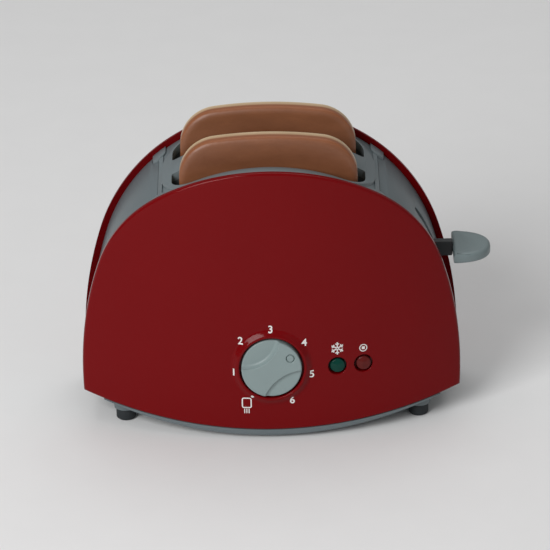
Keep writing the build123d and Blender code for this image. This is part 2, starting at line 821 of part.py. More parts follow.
def gear_outline(teeth, turn=0.0):
    """Spur gear with involute flanks, one tooth centred on the angle turn."""
    pitch = gear_module * teeth / 2
    base = pitch * cos(radians(pressure_angle))
    tip = pitch + addendum_ratio * gear_module
    root = pitch - dedendum_ratio * gear_module

    def half_angle(radius):
        """Half the tooth's angle at a radius: it stays constant inside the base circle."""
        pressure = acos(base / max(radius, base))
        at_pitch = radians(pressure_angle)
        spread = tan(at_pitch) - at_pitch - tan(pressure) + pressure
        return degrees((pi / 2 - gear_backlash / gear_module) / teeth + spread)

    middle = (max(root, base) + tip) / 2
    step = 360 / teeth
    with BuildSketch(mode=Mode.PRIVATE) as outline:
        with BuildLine():
            for tooth in range(teeth):
                centre = turn + tooth * step
                rise = [polar(r, centre - half_angle(r)) for r in (root, middle, tip)]
                fall = [polar(r, centre + half_angle(r)) for r in (tip, middle, root)]
                following = polar(root, centre + step - half_angle(root))
                ThreePointArc(*rise)
                Line(rise[2], fall[0])
                ThreePointArc(*fall)
                Line(fall[2], following)
        make_face()
    return outline.sketch


with BuildPart() as timer_knob:
    knob_back = well_floor_depth - seam
    with BuildSketch(dial_plane.offset(knob_proud)):
        Circle(knob_radius)
    extrude(amount=-(knob_proud + knob_back))
    knob_rim = timer_knob.edges().filter_by(GeomType.CIRCLE).sort_by(Axis.Y)[0]
    fillet(knob_rim, radius=knob_rounding)
    # two finger scoops, leaving a waisted bar that points with the ring mark
    for side in (1, -1):
        scoop = Plane(dial_plane.offset(knob_proud).location * Rot(0, 0, knob_pointer + 90 * side))
        scoop = Plane(scoop.location * Pos(scoop_centre, 0, 0) * Rot(0, scoop_tilt, 0) * Rot(0, 0, 180))
        with BuildSketch(scoop.offset(-scoop_depth)):       # turned so that its seam is in the knob
            Circle(scoop_radius)
        extrude(amount=2 * scoop_depth, mode=Mode.SUBTRACT)
    # ring mark
    mark = Plane(dial_plane.offset(knob_proud).location * Rot(0, 0, knob_pointer) * Pos(mark_radius, 0, 0))
    with BuildSketch(mark):
        Circle(mark_ring)
        Circle(mark_ring - mark_width, mode=Mode.SUBTRACT)
    extrude(amount=-mark_depth, mode=Mode.SUBTRACT)
    # socket for the spindle
    with BuildSketch(dial_plane.offset(-knob_back)):
        Circle(spindle_radius + pivot_play)
    extrude(amount=knob_back, mode=Mode.SUBTRACT)
save(timer_knob.part, "timer_knob")

with BuildPart() as timer_spindle:
    with BuildSketch(dial_plane.offset(-seam)):
        Circle(spindle_radius)
    extrude(amount=-(rear_plate_depth - 2 * seam))
    with BuildSketch(dial_plane.offset(-rear_plate_depth + seam)):
        Circle(cam_seat_radius)
    extrude(amount=-(cam_depth + cam_thickness - rear_plate_depth + seam))
save(timer_spindle.part, "timer_spindle")

with BuildPart() as drive_gear:
    with BuildSketch(dial_plane.offset(-drive_level)):
        add(gear_outline(drive_teeth))
    extrude(amount=-gear_thickness)
    with BuildSketch(dial_plane.offset(-drive_level)):
        Circle(spindle_radius + pivot_play)
    extrude(amount=-gear_thickness, mode=Mode.SUBTRACT)
save(drive_gear.part, "drive_gear")

cam_zero = -(knob_zero - knob_pointer)      # where the lobe stands now to meet the latch at zero
with BuildPart() as release_cam:
    with BuildSketch(dial_plane.offset(-cam_depth)):
        Circle(cam_radius)
        Circle(cam_seat_radius + pivot_play, mode=Mode.SUBTRACT)
    extrude(amount=-cam_thickness)
    with BuildSketch(dial_plane.offset(-cam_depth)):
        with BuildLine():
            lobe_out = CenterArc((0, 0), cam_radius, cam_zero - cam_lobe_angle / 2, cam_lobe_angle)
            lobe_in = CenterArc(
                (0, 0), cam_radius - cam_lobe_width, cam_zero - cam_lobe_angle / 2, cam_lobe_angle
            )
            Line(lobe_out @ 0, lobe_in @ 0)
            Line(lobe_out @ 1, lobe_in @ 1)
        make_face()
    extrude(amount=-(cam_thickness + cam_lobe))
save(release_cam.part, "release_cam")

with BuildPart() as second_gear:
    arbor = Plane(dial_plane.location * Pos(*second_arbor, 0))
    with BuildSketch(arbor.offset(-second_level)):
        add(gear_outline(second_teeth, 90 + 180 / second_teeth))
    extrude(amount=-(gear_thickness - gear_play))
    with BuildSketch(arbor.offset(-drive_level)):
        add(gear_outline(pinion_teeth, 180 / pinion_teeth))
    extrude(amount=-(second_level - drive_level))
    with BuildSketch(arbor.offset(-front_plate_depth)):
        Circle(arbor_radius)
    extrude(amount=-(rear_plate_depth + plate_thickness - front_plate_depth))
save(second_gear.part, "second_gear")

with BuildPart() as escape_wheel:
    arbor = Plane(dial_plane.location * Pos(*escape_arbor, 0))
    with BuildSketch(arbor.offset(-drive_level)):
        with BuildLine():
            for tooth in range(escape_teeth):
                centre = 360 * tooth / escape_teeth
                following = centre + 360 / escape_teeth
                point = polar(escape_radius, centre)
                root = polar(escape_radius - escape_tooth, centre + escape_undercut)
                Line(point, root)
                Line(root, polar(escape_radius, following))
        make_face()
    extrude(amount=-gear_thickness)
    with BuildSketch(arbor.offset(-drive_level - gear_thickness)):
        add(gear_outline(pinion_teeth, 270))
    extrude(amount=-(second_level - drive_level))
    with BuildSketch(arbor.offset(-front_plate_depth)):
        Circle(arbor_radius)
    extrude(amount=-(rear_plate_depth + plate_thickness - front_plate_depth))
save(escape_wheel.part, "escape_wheel")

with BuildPart() as pallet:
    wheel = Plane(dial_plane.location * Pos(*escape_arbor, 0))
    hub = Plane(dial_plane.location * Pos(*pallet_arbor, 0))
    pallet_inner = escape_radius + pallet_clearance
    with BuildSketch(wheel.offset(-drive_level)):
        with BuildLine():
            jaw_out = CenterArc(
                (0, 0), pallet_inner + pallet_thickness, 180 - pallet_span, 2 * pallet_span
            )
            jaw_in = CenterArc((0, 0), pallet_inner, 180 - pallet_span, 2 * pallet_span)
            Line(jaw_out @ 0, jaw_in @ 0)
            Line(jaw_out @ 1, jaw_in @ 1)
        make_face()
        with Locations((-pallet_distance, 0)):
            Circle(2 * arbor_radius)
    extrude(amount=-gear_thickness)
    with BuildSketch(hub.offset(-front_plate_depth)):
        Circle(arbor_radius)
    extrude(amount=-(rear_plate_depth + plate_thickness - front_plate_depth))
save(pallet.part, "pallet")

# ---------------------------------------------------------------- timer frame
plate_holes = [second_arbor, escape_arbor, pallet_arbor]


def timer_plate(depth, spindle_hole):
    """Plate of the timer, with its arbor and screw holes."""
    with BuildPart() as plate:
        with BuildSketch(dial_plane.offset(-depth)) as blank:
            with BuildLine():
                for spot in plate_posts:
                    CenterArc(spot, plate_post_radius, 0, 360)
            make_hull()
            Circle(spindle_hole + pivot_play, mode=Mode.SUBTRACT)
            with Locations(*plate_holes):
                Circle(arbor_radius + pivot_play, mode=Mode.SUBTRACT)
            with Locations(*plate_posts):
                Circle(arbor_radius + pivot_play, mode=Mode.SUBTRACT)
        extrude(amount=-plate_thickness)
    return plate.part


front_timer_plate = timer_plate(front_plate_depth, spindle_radius)
rear_timer_plate = timer_plate(rear_plate_depth, cam_seat_radius)
save(front_timer_plate, "timer_front_plate")
save(rear_timer_plate, "timer_rear_plate")

with BuildPart() as timer_pillars:
    with BuildSketch(dial_plane.offset(-gear_floor)):
        with Locations(*plate_posts):
            Circle(pillar_radius)
            Circle(arbor_radius + pivot_play, mode=Mode.SUBTRACT)
    extrude(amount=-gear_space)
save(timer_pillars.part, "timer_pillars")

screw_length = rear_plate_depth + plate_thickness - front_plate_depth + self_tap_length
with BuildPart() as timer_screws:
    with BuildSketch(dial_plane.offset(-rear_plate_depth - plate_thickness)):
        with Locations(*plate_posts):
            Circle(2 * arbor_radius)
    extrude(amount=-arbor_radius)
    with BuildSketch(dial_plane.offset(-rear_plate_depth - plate_thickness)):
        with Locations(*plate_posts):
            Circle(arbor_radius - pivot_play)
    extrude(amount=screw_length)
save(timer_screws.part, "timer_screws")

with BuildPart() as mainspring:
    spring_depth = front_plate_depth - seam
    with BuildSketch(dial_plane.offset(-spring_depth)):
        with BuildLine() as spiral:
            start = (mainspring_inner, 0)
            for half_turn in range(2 * mainspring_turns):
                heading = 1 if half_turn % 2 == 0 else -1
                radius = mainspring_inner + mainspring_pitch * (half_turn + 0.5) / 4
                end = (start[0] - heading * 2 * radius, 0)
                middle = ((start[0] + end[0]) / 2, heading * radius)
                ThreePointArc(start, middle, end)
                start = end
        trace(line_width=mainspring_strip)
    extrude(amount=mainspring_height)
save(mainspring.part, "mainspring")

# ---------------------------------------------------------------- buttons
stem_room = latch_arm_face - latch_shift - latch_clearance - front_line(button_height)
stem_length = stem_room / cos(radians(shell_lean))          # clears the engaged latch
button_springs = []
for name, plane, x in zip(("defrost", "stop"), button_planes, button_xs):
    flange_top = button_seat + seam / 2
    flange_back = flange_top + button_flange_wall
    guide_face = guide_depth - plan_sag(x)
    with BuildPart() as button:
        with BuildSketch(plane.offset(button_proud)):
            Circle(button_radius)
        extrude(amount=-(button_proud + flange_top))
        fillet(button.faces().sort_by(Axis.Y)[0].edges(), radius=button_rounding)
        with BuildSketch(plane.offset(-flange_top)):
            Circle(button_radius + button_flange)
        extrude(amount=-button_flange_wall)
        with BuildSketch(plane.offset(-flange_back)):
            Circle(button_stem_radius)
        extrude(amount=-(stem_length - plan_sag(x) - flange_back))
    save(button.part, f"{name}_button")
    spring = coil(
        plane.offset(-guide_face + seam / 4), guide_face - flange_back - seam / 2,
        button_stem_radius + button_wire, button_wire, spring_turns,
    )
    save(spring, f"{name}_spring")

with BuildPart() as button_guide:
    with BuildSketch(guide_plane):
        with BuildLine():
            for x in button_xs:
                CenterArc((x, 0), button_radius + pivot_play, 0, 360)
            for spot in guide_screw_spots:
                CenterArc(spot, plate_post_radius, 0, 360)
        make_hull()
        with Locations(*[(x, 0) for x in button_xs]):
            Circle(button_stem_radius + pivot_play, mode=Mode.SUBTRACT)
        with Locations(*guide_screw_spots):
            Circle(arbor_radius + pivot_play, mode=Mode.SUBTRACT)
    extrude(amount=-guide_wall)
save(button_guide.part, "button_guide")

with BuildPart() as guide_fasteners:
    with BuildSketch(guide_plane.offset(-guide_wall)):
        with Locations(*guide_screw_spots):
            Circle(2 * arbor_radius)
    extrude(amount=-arbor_radius)
    with BuildSketch(guide_plane.offset(-guide_wall)):
        with Locations(*guide_screw_spots):
            Circle(arbor_radius - pivot_play)
    extrude(amount=guide_wall + self_tap_length)
save(guide_fasteners.part, "guide_screws")

# ---------------------------------------------------------------- release latch
finger_front = front_line(dial_height) + cam_depth + cam_thickness + cam_lobe + latch_clearance
finger_back = finger_front + finger_wall
finger_reach = cam_radius - cam_lobe_width - finger_overlap # X of the finger's tip
catch_top = fork_bottom + catch_height - lift_travel
with BuildPart() as release_latch:
    with BuildSketch(Plane.YZ.offset(latch_xs[0])):         # hub
        with Locations((latch_y, latch_z)):
            Circle(latch_hub_radius)
    extrude(amount=latch_xs[1] - latch_xs[0])
    with BuildSketch(Plane.YZ.offset(latch_xs[1] - latch_arm_width)):   # arm behind the stop button
        with BuildLine():
            Polyline(
                (latch_y, latch_z),
                (latch_arm_face, latch_z + latch_hub_radius),
                (latch_arm_face, button_height + latch_arm_top),
                (latch_arm_face + latch_wall, button_height + latch_arm_top),
                (latch_arm_face + latch_wall, latch_z),
                close=True,
            )
        make_face()
    extrude(amount=latch_arm_width)
    with BuildSketch(Plane.YZ.offset(latch_xs[0])):         # arm of the cam finger
        with BuildLine():
            Polyline(
                (latch_y, latch_z),
                (finger_front, dial_height - finger_height / 2),
                (finger_front, dial_height + finger_height / 2),
                (finger_back, dial_height + finger_height / 2),
                (finger_back, dial_height - finger_height / 2),
                (latch_arm_face + latch_wall, latch_z),
                close=True,
            )
        make_face()
    extrude(amount=finger_width)
    with BuildSketch(Plane.XZ.offset(-finger_back)):
        with Locations((finger_reach, dial_height)):
            Rectangle(
                latch_xs[0] + finger_width - finger_reach, finger_height,
                align=(Align.MIN, Align.CENTER),
            )
    extrude(amount=finger_wall)
    with BuildSketch(Plane.YZ.offset(hook_start)):
        with BuildLine():                                   # hook over the carriage's catch
            Polyline(
                (latch_y - latch_pin_radius, latch_z),
                (latch_y - latch_pin_radius, catch_top + hook_gap),
                (hook_tip, catch_top + hook_gap),
                (hook_tip, catch_top + hook_gap + hook_nose),
                (latch_y + latch_pin_radius, catch_top + hook_root),
                (latch_y + latch_pin_radius, latch_z),
                close=True,
            )
        make_face()
    extrude(amount=catch_width)
    with BuildSketch(Plane.YZ.offset(latch_xs[0])):
        with Locations((latch_y, latch_z)):
            Circle(latch_pin_radius + pivot_play)
    extrude(amount=latch_xs[1] - latch_xs[0], mode=Mode.SUBTRACT)
save(release_latch.part, "release_latch")

with BuildPart() as latch_pin:
    with BuildSketch(Plane.YZ.offset(ear_xs[0])):
        with Locations((latch_y, latch_z)):
            Circle(latch_pin_radius)
    extrude(amount=ear_xs[1] + latch_ear - ear_xs[0])
save(latch_pin.part, "latch_pin")

# ---------------------------------------------------------------- files
boxes = [piece.bounding_box() for piece in pieces.values()]
middle_x = (min(box.min.X for box in boxes) + max(box.max.X for box in boxes)) / 2
middle_y = (min(box.min.Y for box in boxes) + max(box.max.Y for box in boxes)) / 2
for name, piece in pieces.items():
    centred = Pos(-middle_x, -middle_y, 0) * piece
    centred.label = name
    export_step(centred, f"parts/{name}.step")
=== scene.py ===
from math import asin, atan2, ceil, cos, degrees, hypot, pi, radians, sin, sqrt

import bmesh
import bpy
import numpy as np
from mathutils import Matrix, Vector
from mathutils.geometry import delaunay_2d_cdt


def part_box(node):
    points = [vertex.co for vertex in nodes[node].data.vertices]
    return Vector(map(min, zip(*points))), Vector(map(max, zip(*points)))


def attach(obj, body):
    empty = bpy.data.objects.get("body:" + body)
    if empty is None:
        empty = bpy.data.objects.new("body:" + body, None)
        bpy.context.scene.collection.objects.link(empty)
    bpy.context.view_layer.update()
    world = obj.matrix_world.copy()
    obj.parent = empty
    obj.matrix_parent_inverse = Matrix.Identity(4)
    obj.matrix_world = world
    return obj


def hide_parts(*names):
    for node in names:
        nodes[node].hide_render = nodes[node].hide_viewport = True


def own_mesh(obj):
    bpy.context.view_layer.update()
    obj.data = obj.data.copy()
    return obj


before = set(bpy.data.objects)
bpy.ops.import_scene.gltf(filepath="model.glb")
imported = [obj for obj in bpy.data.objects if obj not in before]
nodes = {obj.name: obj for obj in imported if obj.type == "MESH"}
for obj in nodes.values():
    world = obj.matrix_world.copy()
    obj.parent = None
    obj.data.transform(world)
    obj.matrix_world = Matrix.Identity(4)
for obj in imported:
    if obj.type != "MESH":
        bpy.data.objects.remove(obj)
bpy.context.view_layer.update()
scene = bpy.context.scene
scene.view_settings.view_transform = "Standard"
mm = 0.001      # sizes below are millimetres, meshes are metres

# sizes below start from the point between the shells, which the four feet stand around
footLow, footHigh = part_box("feet")
middle = Vector(((footLow.x + footHigh.x) / 2, (footLow.y + footHigh.y) / 2, 0)) / mm

# a long lens a little above the toaster, turned a touch off level
view = {
    "elevation": 26.5,
    "roll": 0.95,
    "distance": 2000.0,
    "lens": 259.0,
    "aim": (0.0, -23.0, 15.0),      # this point of the toaster
    "aimPixel": (272.0, 387.0),     # falls on this pixel of the frame
    "frame": 550.0,
    "sensor": 36.0,
}


def makeCamera(v):
    tilt, turn = radians(v["elevation"]), radians(v["roll"])
    back = Vector((0, -cos(tilt), sin(tilt)))
    level = Vector((1, 0, 0))
    upright = back.cross(level)
    right = level * cos(turn) - upright * sin(turn)
    up = upright * cos(turn) + level * sin(turn)
    perPixel = v["sensor"] / v["frame"] / v["lens"] * v["distance"]
    across = (v["aimPixel"][0] - v["frame"] / 2) * perPixel
    down = (v["aimPixel"][1] - v["frame"] / 2) * perPixel
    centre = Vector(v["aim"]) + middle - right * across + up * down
    data = bpy.data.cameras.new("camera")
    data.lens = v["lens"]
    data.sensor_width = v["sensor"]
    data.clip_end = 20
    camera = bpy.data.objects.new("camera", data)
    placed = Matrix((right, up, back)).transposed().to_4x4()
    placed.translation = (centre + back * v["distance"]) * mm
    camera.matrix_world = placed
    scene.collection.objects.link(camera)
    scene.camera = camera


makeCamera(view)
print("camera set")


# node helpers, for shader trees and geometry trees alike
def feed(tree, sockets, values):
    # links or sets each named socket
    for key, value in dict(values).items():
        if isinstance(value, bpy.types.NodeSocket):
            tree.links.new(value, sockets[key])
        else:
            sockets[key].default_value = value


def addNode(tree, kind, inputs=(), **settings):
    made = tree.nodes.new(kind)
    for key, value in settings.items():
        setattr(made, key, value)
    feed(tree, made.inputs, inputs)
    return made


def addSockets(tree, direction, values):
    # one for each name, of its value's kind, or of the kind that a text names
    kinds = {float: "NodeSocketFloat", int: "NodeSocketInt", tuple: "NodeSocketColor"}
    for label, value in values.items():
        kind = kinds.get(type(value), value)
        made = tree.interface.new_socket(name=label, in_out=direction, socket_type=kind)
        if type(value) in kinds:
            made.default_value = value


def sums(tree, operation, *values, **settings):
    made = addNode(tree, "ShaderNodeMath", dict(enumerate(values)), operation=operation, **settings)
    return made.outputs[0]


# shader helpers
def startGroup(name, inputs, outputs):
    tree = bpy.data.node_groups.new(name, "ShaderNodeTree")
    addSockets(tree, "INPUT", inputs)
    addSockets(tree, "OUTPUT", outputs)
    return tree, tree.nodes.new("NodeGroupInput").outputs, tree.nodes.new("NodeGroupOutput").inputs


def startMaterial(name, colour):
    material = bpy.data.materials.new(name)
    material.use_nodes = True
    material.diffuse_color = (*colour, 1)
    tree = material.node_tree
    return material, tree, tree.nodes["Principled BSDF"].inputs


def placeIn(tree):
    return addNode(tree, "ShaderNodeTexCoord").outputs["Object"]


def stretched(tree, place, scale, turn=(0.0, 0.0, 0.0)):
    return addNode(tree, "ShaderNodeMapping", {
        "Vector": place, "Scale": scale, "Rotation": turn}).outputs[0]


def noise(tree, place, scale, detail=2.0, roughness=0.5):
    return addNode(tree, "ShaderNodeTexNoise", {
        "Vector": place, "Scale": scale, "Detail": detail, "Roughness": roughness}).outputs["Fac"]


def ramp(tree, value, start, end, low=0.0, high=1.0, **settings):
    return addNode(tree, "ShaderNodeMapRange", {
        "Value": value, "From Min": start, "From Max": end, "To Min": low, "To Max": high,
    }, **settings).outputs[0]


def blend(tree, share, *ends):
    # a colour between two, each a socket or three numbers
    low, high = (end if isinstance(end, bpy.types.NodeSocket) else (*end, 1) for end in ends)
    return addNode(tree, "ShaderNodeMix", {0: share, 6: low, 7: high}, data_type="RGBA").outputs[2]


def bumped(tree, level, height, strength=1.0):
    return addNode(tree, "ShaderNodeBump", {
        "Height": level, "Distance": height, "Strength": strength}).outputs["Normal"]


def dimmed(colour, share):
    return [part * share for part in colour]


grey = (0.5, 0.5, 0.5, 1)       # a group's colours before it is given any
wear = {
    "speck": (0.03, 0.09),      # distances from a cell's middle over which its dust fades
    "bare": 0.985,              # share of the cells without dust
    "rubStretch": (1.0, 1.0, 9.0), "rubTurn": (0.0, 0.5, 0.0),
    "rubGloss": 0.06,           # how much the rub marks roughen
}


def mouldGroup():
    # plastic straight from the mould: cloudy colour, fine spark-eroded grain, uneven gloss
    tree, given, out = startGroup("mouldedSurface", {
        "Colour": grey, "Cloud Scale": 30.0, "Cloud Depth": 0.1, "Grain Scale": 2500.0,
        "Gloss": 0.4, "Gloss Spread": 0.05,
    }, {"Colour": grey, "Roughness": 0.4, "Grain": 0.5})
    place = placeIn(tree)
    cloud = noise(tree, place, given["Cloud Scale"], detail=3.0, roughness=0.55)
    swing = sums(tree, "SUBTRACT", cloud, 0.5)
    level = sums(tree, "ADD", sums(tree, "MULTIPLY", swing, given["Cloud Depth"]), 1.0)
    shade = addNode(tree, "ShaderNodeHueSaturation", {"Value": level, "Color": given["Colour"]})
    feed(tree, out, {
        "Colour": shade.outputs["Color"],
        "Roughness": sums(tree, "MULTIPLY_ADD", swing, given["Gloss Spread"], given["Gloss"]),
        "Grain": noise(tree, place, given["Grain Scale"]),
    })
    return tree


def speckGroup():
    # a few specks of dust and hair-fine rub marks
    tree, given, out = startGroup("dustAndRubs", {
        "Colour": grey, "Dust Colour": (0.55, 0.5, 0.48, 1), "Dust Scale": 350.0,
        "Dust Amount": 0.5, "Rub Scale": 60.0,
    }, {"Colour": grey, "Rubs": 0.5})
    place = placeIn(tree)
    cells = addNode(tree, "ShaderNodeTexVoronoi", {
        "Vector": place, "Scale": given["Dust Scale"], "Randomness": 1.0}).outputs
    near = ramp(tree, cells["Distance"], *wear["speck"], 1.0, 0.0)
    draw = addNode(tree, "ShaderNodeSeparateColor", {"Color": cells["Color"]}).outputs[0]
    spot = sums(tree, "MULTIPLY", near, sums(tree, "GREATER_THAN", draw, wear["bare"]))
    amount = sums(tree, "MULTIPLY", spot, given["Dust Amount"])
    along = stretched(tree, place, wear["rubStretch"], wear["rubTurn"])
    feed(tree, out, {
        "Colour": blend(tree, amount, given["Colour"], given["Dust Colour"]),
        "Rubs": noise(tree, along, given["Rub Scale"], detail=5.0, roughness=0.7),
    })
    return tree


moulded = mouldGroup()
specks = speckGroup()

finishes = {
    # colour, gloss, gloss spread, cloud depth, grain scale, bump height in metres, specular, dust
    "shellRed": ((0.150, 0.0008, 0.002), 0.10, 0.04, 0.08, 900, 0.0000012, 0.13, 0.25),
    "bodyGrey": ((0.120, 0.145, 0.155), 0.40, 0.10, 0.14, 2600, 0.000012, 0.40, 0.25),
    # the body's grey plastic, drawn lighter on the top cover: painted light
    "deckGreyPaintedLight": ((0.140, 0.167, 0.177), 0.36, 0.10, 0.14, 2600, 0.000010, 0.40, 0.25),
    "knobGrey": ((0.225, 0.285, 0.285), 0.34, 0.08, 0.10, 3000, 0.000008, 0.40, 0.2),
    # the knob's grey plastic, darkened on the paddle: painted shade
    "paddleGreyPaintedShade": ((0.155, 0.195, 0.200), 0.36, 0.08, 0.10, 3000, 0.000008, 0.40, 0.2),
    "innerDark": ((0.030, 0.032, 0.034), 0.46, 0.10, 0.20, 1800, 0.000014, 0.40, 0.3),
    "chuteGrey": ((0.060, 0.070, 0.075), 0.45, 0.10, 0.16, 2200, 0.000012, 0.40, 0.3),
    "footRubber": ((0.020, 0.024, 0.027), 0.62, 0.12, 0.25, 1500, 0.000020, 0.30, 0.4),
    "gearWhite": ((0.62, 0.62, 0.57), 0.38, 0.08, 0.08, 2000, 0.000008, 0.45, 0.1),
    "printWhite": ((0.72, 0.72, 0.70), 0.45, 0.06, 0.10, 3500, 0.000004, 0.40, 0.0),
}


def plastic(name):
    colour, gloss, spread, cloud, grain, height, specular, dust = finishes[name]
    material, tree, shader = startMaterial(name, colour)
    surface = addNode(tree, "ShaderNodeGroup", {
        "Colour": (*colour, 1), "Cloud Depth": cloud, "Grain Scale": grain,
        "Gloss": gloss, "Gloss Spread": spread,
    }, node_tree=moulded).outputs
    dusty = addNode(tree, "ShaderNodeGroup", {
        "Colour": surface["Colour"], "Dust Amount": dust}, node_tree=specks).outputs
    feed(tree, shader, {
        "Base Color": dusty["Colour"],
        "Roughness": sums(tree, "MULTIPLY_ADD", dusty["Rubs"], wear["rubGloss"],
                          surface["Roughness"]),
        "Normal": bumped(tree, surface["Grain"], height),
        "Specular IOR Level": specular,
    })
    return material


clearLook = {
    "swirlScale": 420.0, "swirlShade": 0.6, "roughness": 0.08, "specular": 0.12,
    "coat": 0.08, "coatRoughness": 0.04,
}
steelLook = {
    "lineStretch": (1.0, 1.0, 12.0), "lineScale": 700.0, "lineShade": 0.75,
    "smoother": 0.08, "rougher": 0.12,      # how far the roughness swings either way
}
toastLook = {
    "brown": (0.225, 0.083, 0.035), "brownDark": (0.180, 0.064, 0.027),
    "cream": (0.660, 0.520, 0.330), "creamDark": (0.480, 0.340, 0.190),
    "crust": (0.260, 0.080, 0.022),
    "ragged": 0.5,              # how much the clouds shift the crust's edge
    "seam": 0.0015,             # width of the change from brown to cream, metres
    "cloudStretch": (0.6, 1.0, 1.5), "cloudScale": 70.0, "toasted": (0.3, 0.7),
    "roughness": (0.34, 0.52),
    "poreScale": 520.0, "poreShare": 0.6, "poreHeight": 0.00016, "poreStrength": 0.6,
}


def translucent(name, colour):
    # clear tinted plastic, as in the push buttons
    look = clearLook
    material, tree, shader = startMaterial(name, colour)
    swirl = noise(tree, placeIn(tree), look["swirlScale"])
    feed(tree, shader, {
        "Base Color": blend(tree, swirl, dimmed(colour, look["swirlShade"]), colour),
        "Roughness": look["roughness"],
        "Specular IOR Level": look["specular"],
        "Coat Weight": look["coat"],
        "Coat Roughness": look["coatRoughness"],
    })
    return material


def steel(name, colour, roughness):
    # drawn metal, with fine lines along it
    look = steelLook
    material, tree, shader = startMaterial(name, colour)
    along = stretched(tree, placeIn(tree), look["lineStretch"])
    lines = noise(tree, along, look["lineScale"], detail=4.0)
    feed(tree, shader, {
        "Base Color": blend(tree, lines, dimmed(colour, look["lineShade"]), colour),
        "Roughness": ramp(tree, lines, 0.0, 1.0, roughness - look["smoother"],
                          roughness + look["rougher"]),
        "Metallic": 1.0,
    })
    return material


def toastMaterial(name, seamY):
    # brown on the front, cream behind, with a darker crust round the edge
    look = toastLook
    material, tree, shader = startMaterial(name, look["brown"])
    place = placeIn(tree)
    depth = addNode(tree, "ShaderNodeSeparateXYZ", {"Vector": place}).outputs["Y"]
    behind = ramp(tree, depth, seamY - look["seam"] / 2, seamY + look["seam"] / 2,
                  interpolation_type="SMOOTHSTEP")
    drift = stretched(tree, place, look["cloudStretch"])
    clouds = noise(tree, drift, look["cloudScale"], detail=6.0, roughness=0.62)
    toasted = ramp(tree, clouds, *look["toasted"])
    brown = blend(tree, toasted, look["brownDark"], look["brown"])
    cream = blend(tree, toasted, look["creamDark"], look["cream"])
    edge = addNode(tree, "ShaderNodeAttribute", attribute_name="crust").outputs["Fac"]
    shift = sums(tree, "MULTIPLY_ADD", clouds, look["ragged"], -look["ragged"] / 2)
    crust = sums(tree, "ADD", edge, shift, use_clamp=True)
    pores = addNode(tree, "ShaderNodeTexVoronoi", {
        "Vector": place, "Scale": look["poreScale"]}, feature="SMOOTH_F1").outputs["Distance"]
    crumb = sums(tree, "MULTIPLY_ADD", pores, look["poreShare"], clouds)
    feed(tree, shader, {
        "Base Color": blend(tree, crust, blend(tree, behind, brown, cream), look["crust"]),
        "Roughness": ramp(tree, clouds, 0.0, 1.0, *look["roughness"]),
        "Normal": bumped(tree, crumb, look["poreHeight"], look["poreStrength"]),
    })
    return material


looks = {name: plastic(name) for name in finishes}
looks["greenClear"] = translucent("greenClear", (0.003, 0.050, 0.036))
looks["redClear"] = translucent("redClear", (0.120, 0.014, 0.012))
looks["springSteel"] = steel("springSteel", (0.62, 0.62, 0.61), 0.28)
looks["plateSteel"] = steel("plateSteel", (0.50, 0.50, 0.49), 0.36)
print("materials made")


# mesh helpers
def makePiece(name, bm, finish, body, replaced=(), sharp=38):
    # finishes a bmesh in metres as a piece that rides on a body
    mesh = bpy.data.meshes.new(name)
    bm.to_mesh(mesh)
    bm.free()
    mesh.shade_smooth()
    mesh.set_sharp_from_angle(angle=radians(sharp))
    mesh.materials.append(looks[finish])
    piece = bpy.data.objects.new(name, mesh)
    scene.collection.objects.link(piece)
    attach(piece, body)
    if replaced:
        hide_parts(*replaced)
    return piece


def closedMesh(verts, faces, merge=0.002):
    # verts in millimetres; doubles merged, faces turned outwards
    bm = bmesh.new()
    made = [bm.verts.new((Vector(v) + middle) * mm) for v in verts]
    for face in faces:
        if len(set(face)) > 2:
            bm.faces.new([made[i] for i in face])
    bmesh.ops.remove_doubles(bm, verts=bm.verts, dist=merge * mm)
    bmesh.ops.recalc_face_normals(bm, faces=bm.faces)
    return bm


def extend(verts, faces, more, polygons):
    start = len(verts)
    verts += more
    faces += [tuple(start + i for i in polygon) for polygon in polygons]


def skin(verts, faces, rings):
    # quads between closed rings of as many points, from each one to the next
    for a, b in zip(rings, rings[1:]):
        n = len(a)
        extend(verts, faces, [*a, *b],
               [(i, (i + 1) % n, n + (i + 1) % n, n + i) for i in range(n)])


def fan(verts, faces, ring, centre):
    n = len(ring)
    extend(verts, faces, [*ring, centre], [(i, (i + 1) % n, n) for i in range(n)])


def loft(verts, faces, rings):
    # a skin with both ends closed
    skin(verts, faces, rings)
    for ring in (rings[0], rings[-1]):
        fan(verts, faces, ring, [sum(p[i] for p in ring) / len(ring) for i in range(3)])


def quarter(steps, first=0):
    # sine and cosine of the even steps of a quarter turn
    return [(sin(pi / 2 * i / steps), cos(pi / 2 * i / steps)) for i in range(first, steps + 1)]


def slabLevels(low, lowEdge, lowSteps, high, highEdge, highSteps):
    # (inset, level) through a slab with rounded edges; an edge is its (width, depth)
    levels = [(lowEdge[0] * (1 - s), low + lowEdge[1] * (1 - c)) for s, c in quarter(lowSteps)]
    return levels + [(highEdge[0] * (1 - c), high - highEdge[1] * (1 - s))
                     for s, c in quarter(highSteps)]


def circle(cx, cy, r, n):
    return [(cx + r * cos(2 * pi * i / n), cy + r * sin(2 * pi * i / n)) for i in range(n)]


def roundedBox(cx, cy, width, height, corner, n=6):
    points = []
    for i, (sx, sy) in enumerate(((1, 1), (-1, 1), (-1, -1), (1, -1))):
        mx, my = cx + sx * (width / 2 - corner), cy + sy * (height / 2 - corner)
        for j in range(n + 1):
            turn = pi / 2 * (i + j / n)
            points.append((mx + corner * cos(turn), my + corner * sin(turn)))
    return points


def smooth(share):
    share = min(1.0, max(0.0, share))
    return share * share * (3 - 2 * share)


# geometry node helpers; the trees work in millimetres
def startGrowth(name, inputs):
    tree = bpy.data.node_groups.new(name, "GeometryNodeTree")
    addSockets(tree, "INPUT", {
        "Spots": "NodeSocketGeometry", **inputs, "Finish": "NodeSocketMaterial"})
    addSockets(tree, "OUTPUT", {"Geometry": "NodeSocketGeometry"})
    return tree, tree.nodes.new("NodeGroupInput").outputs


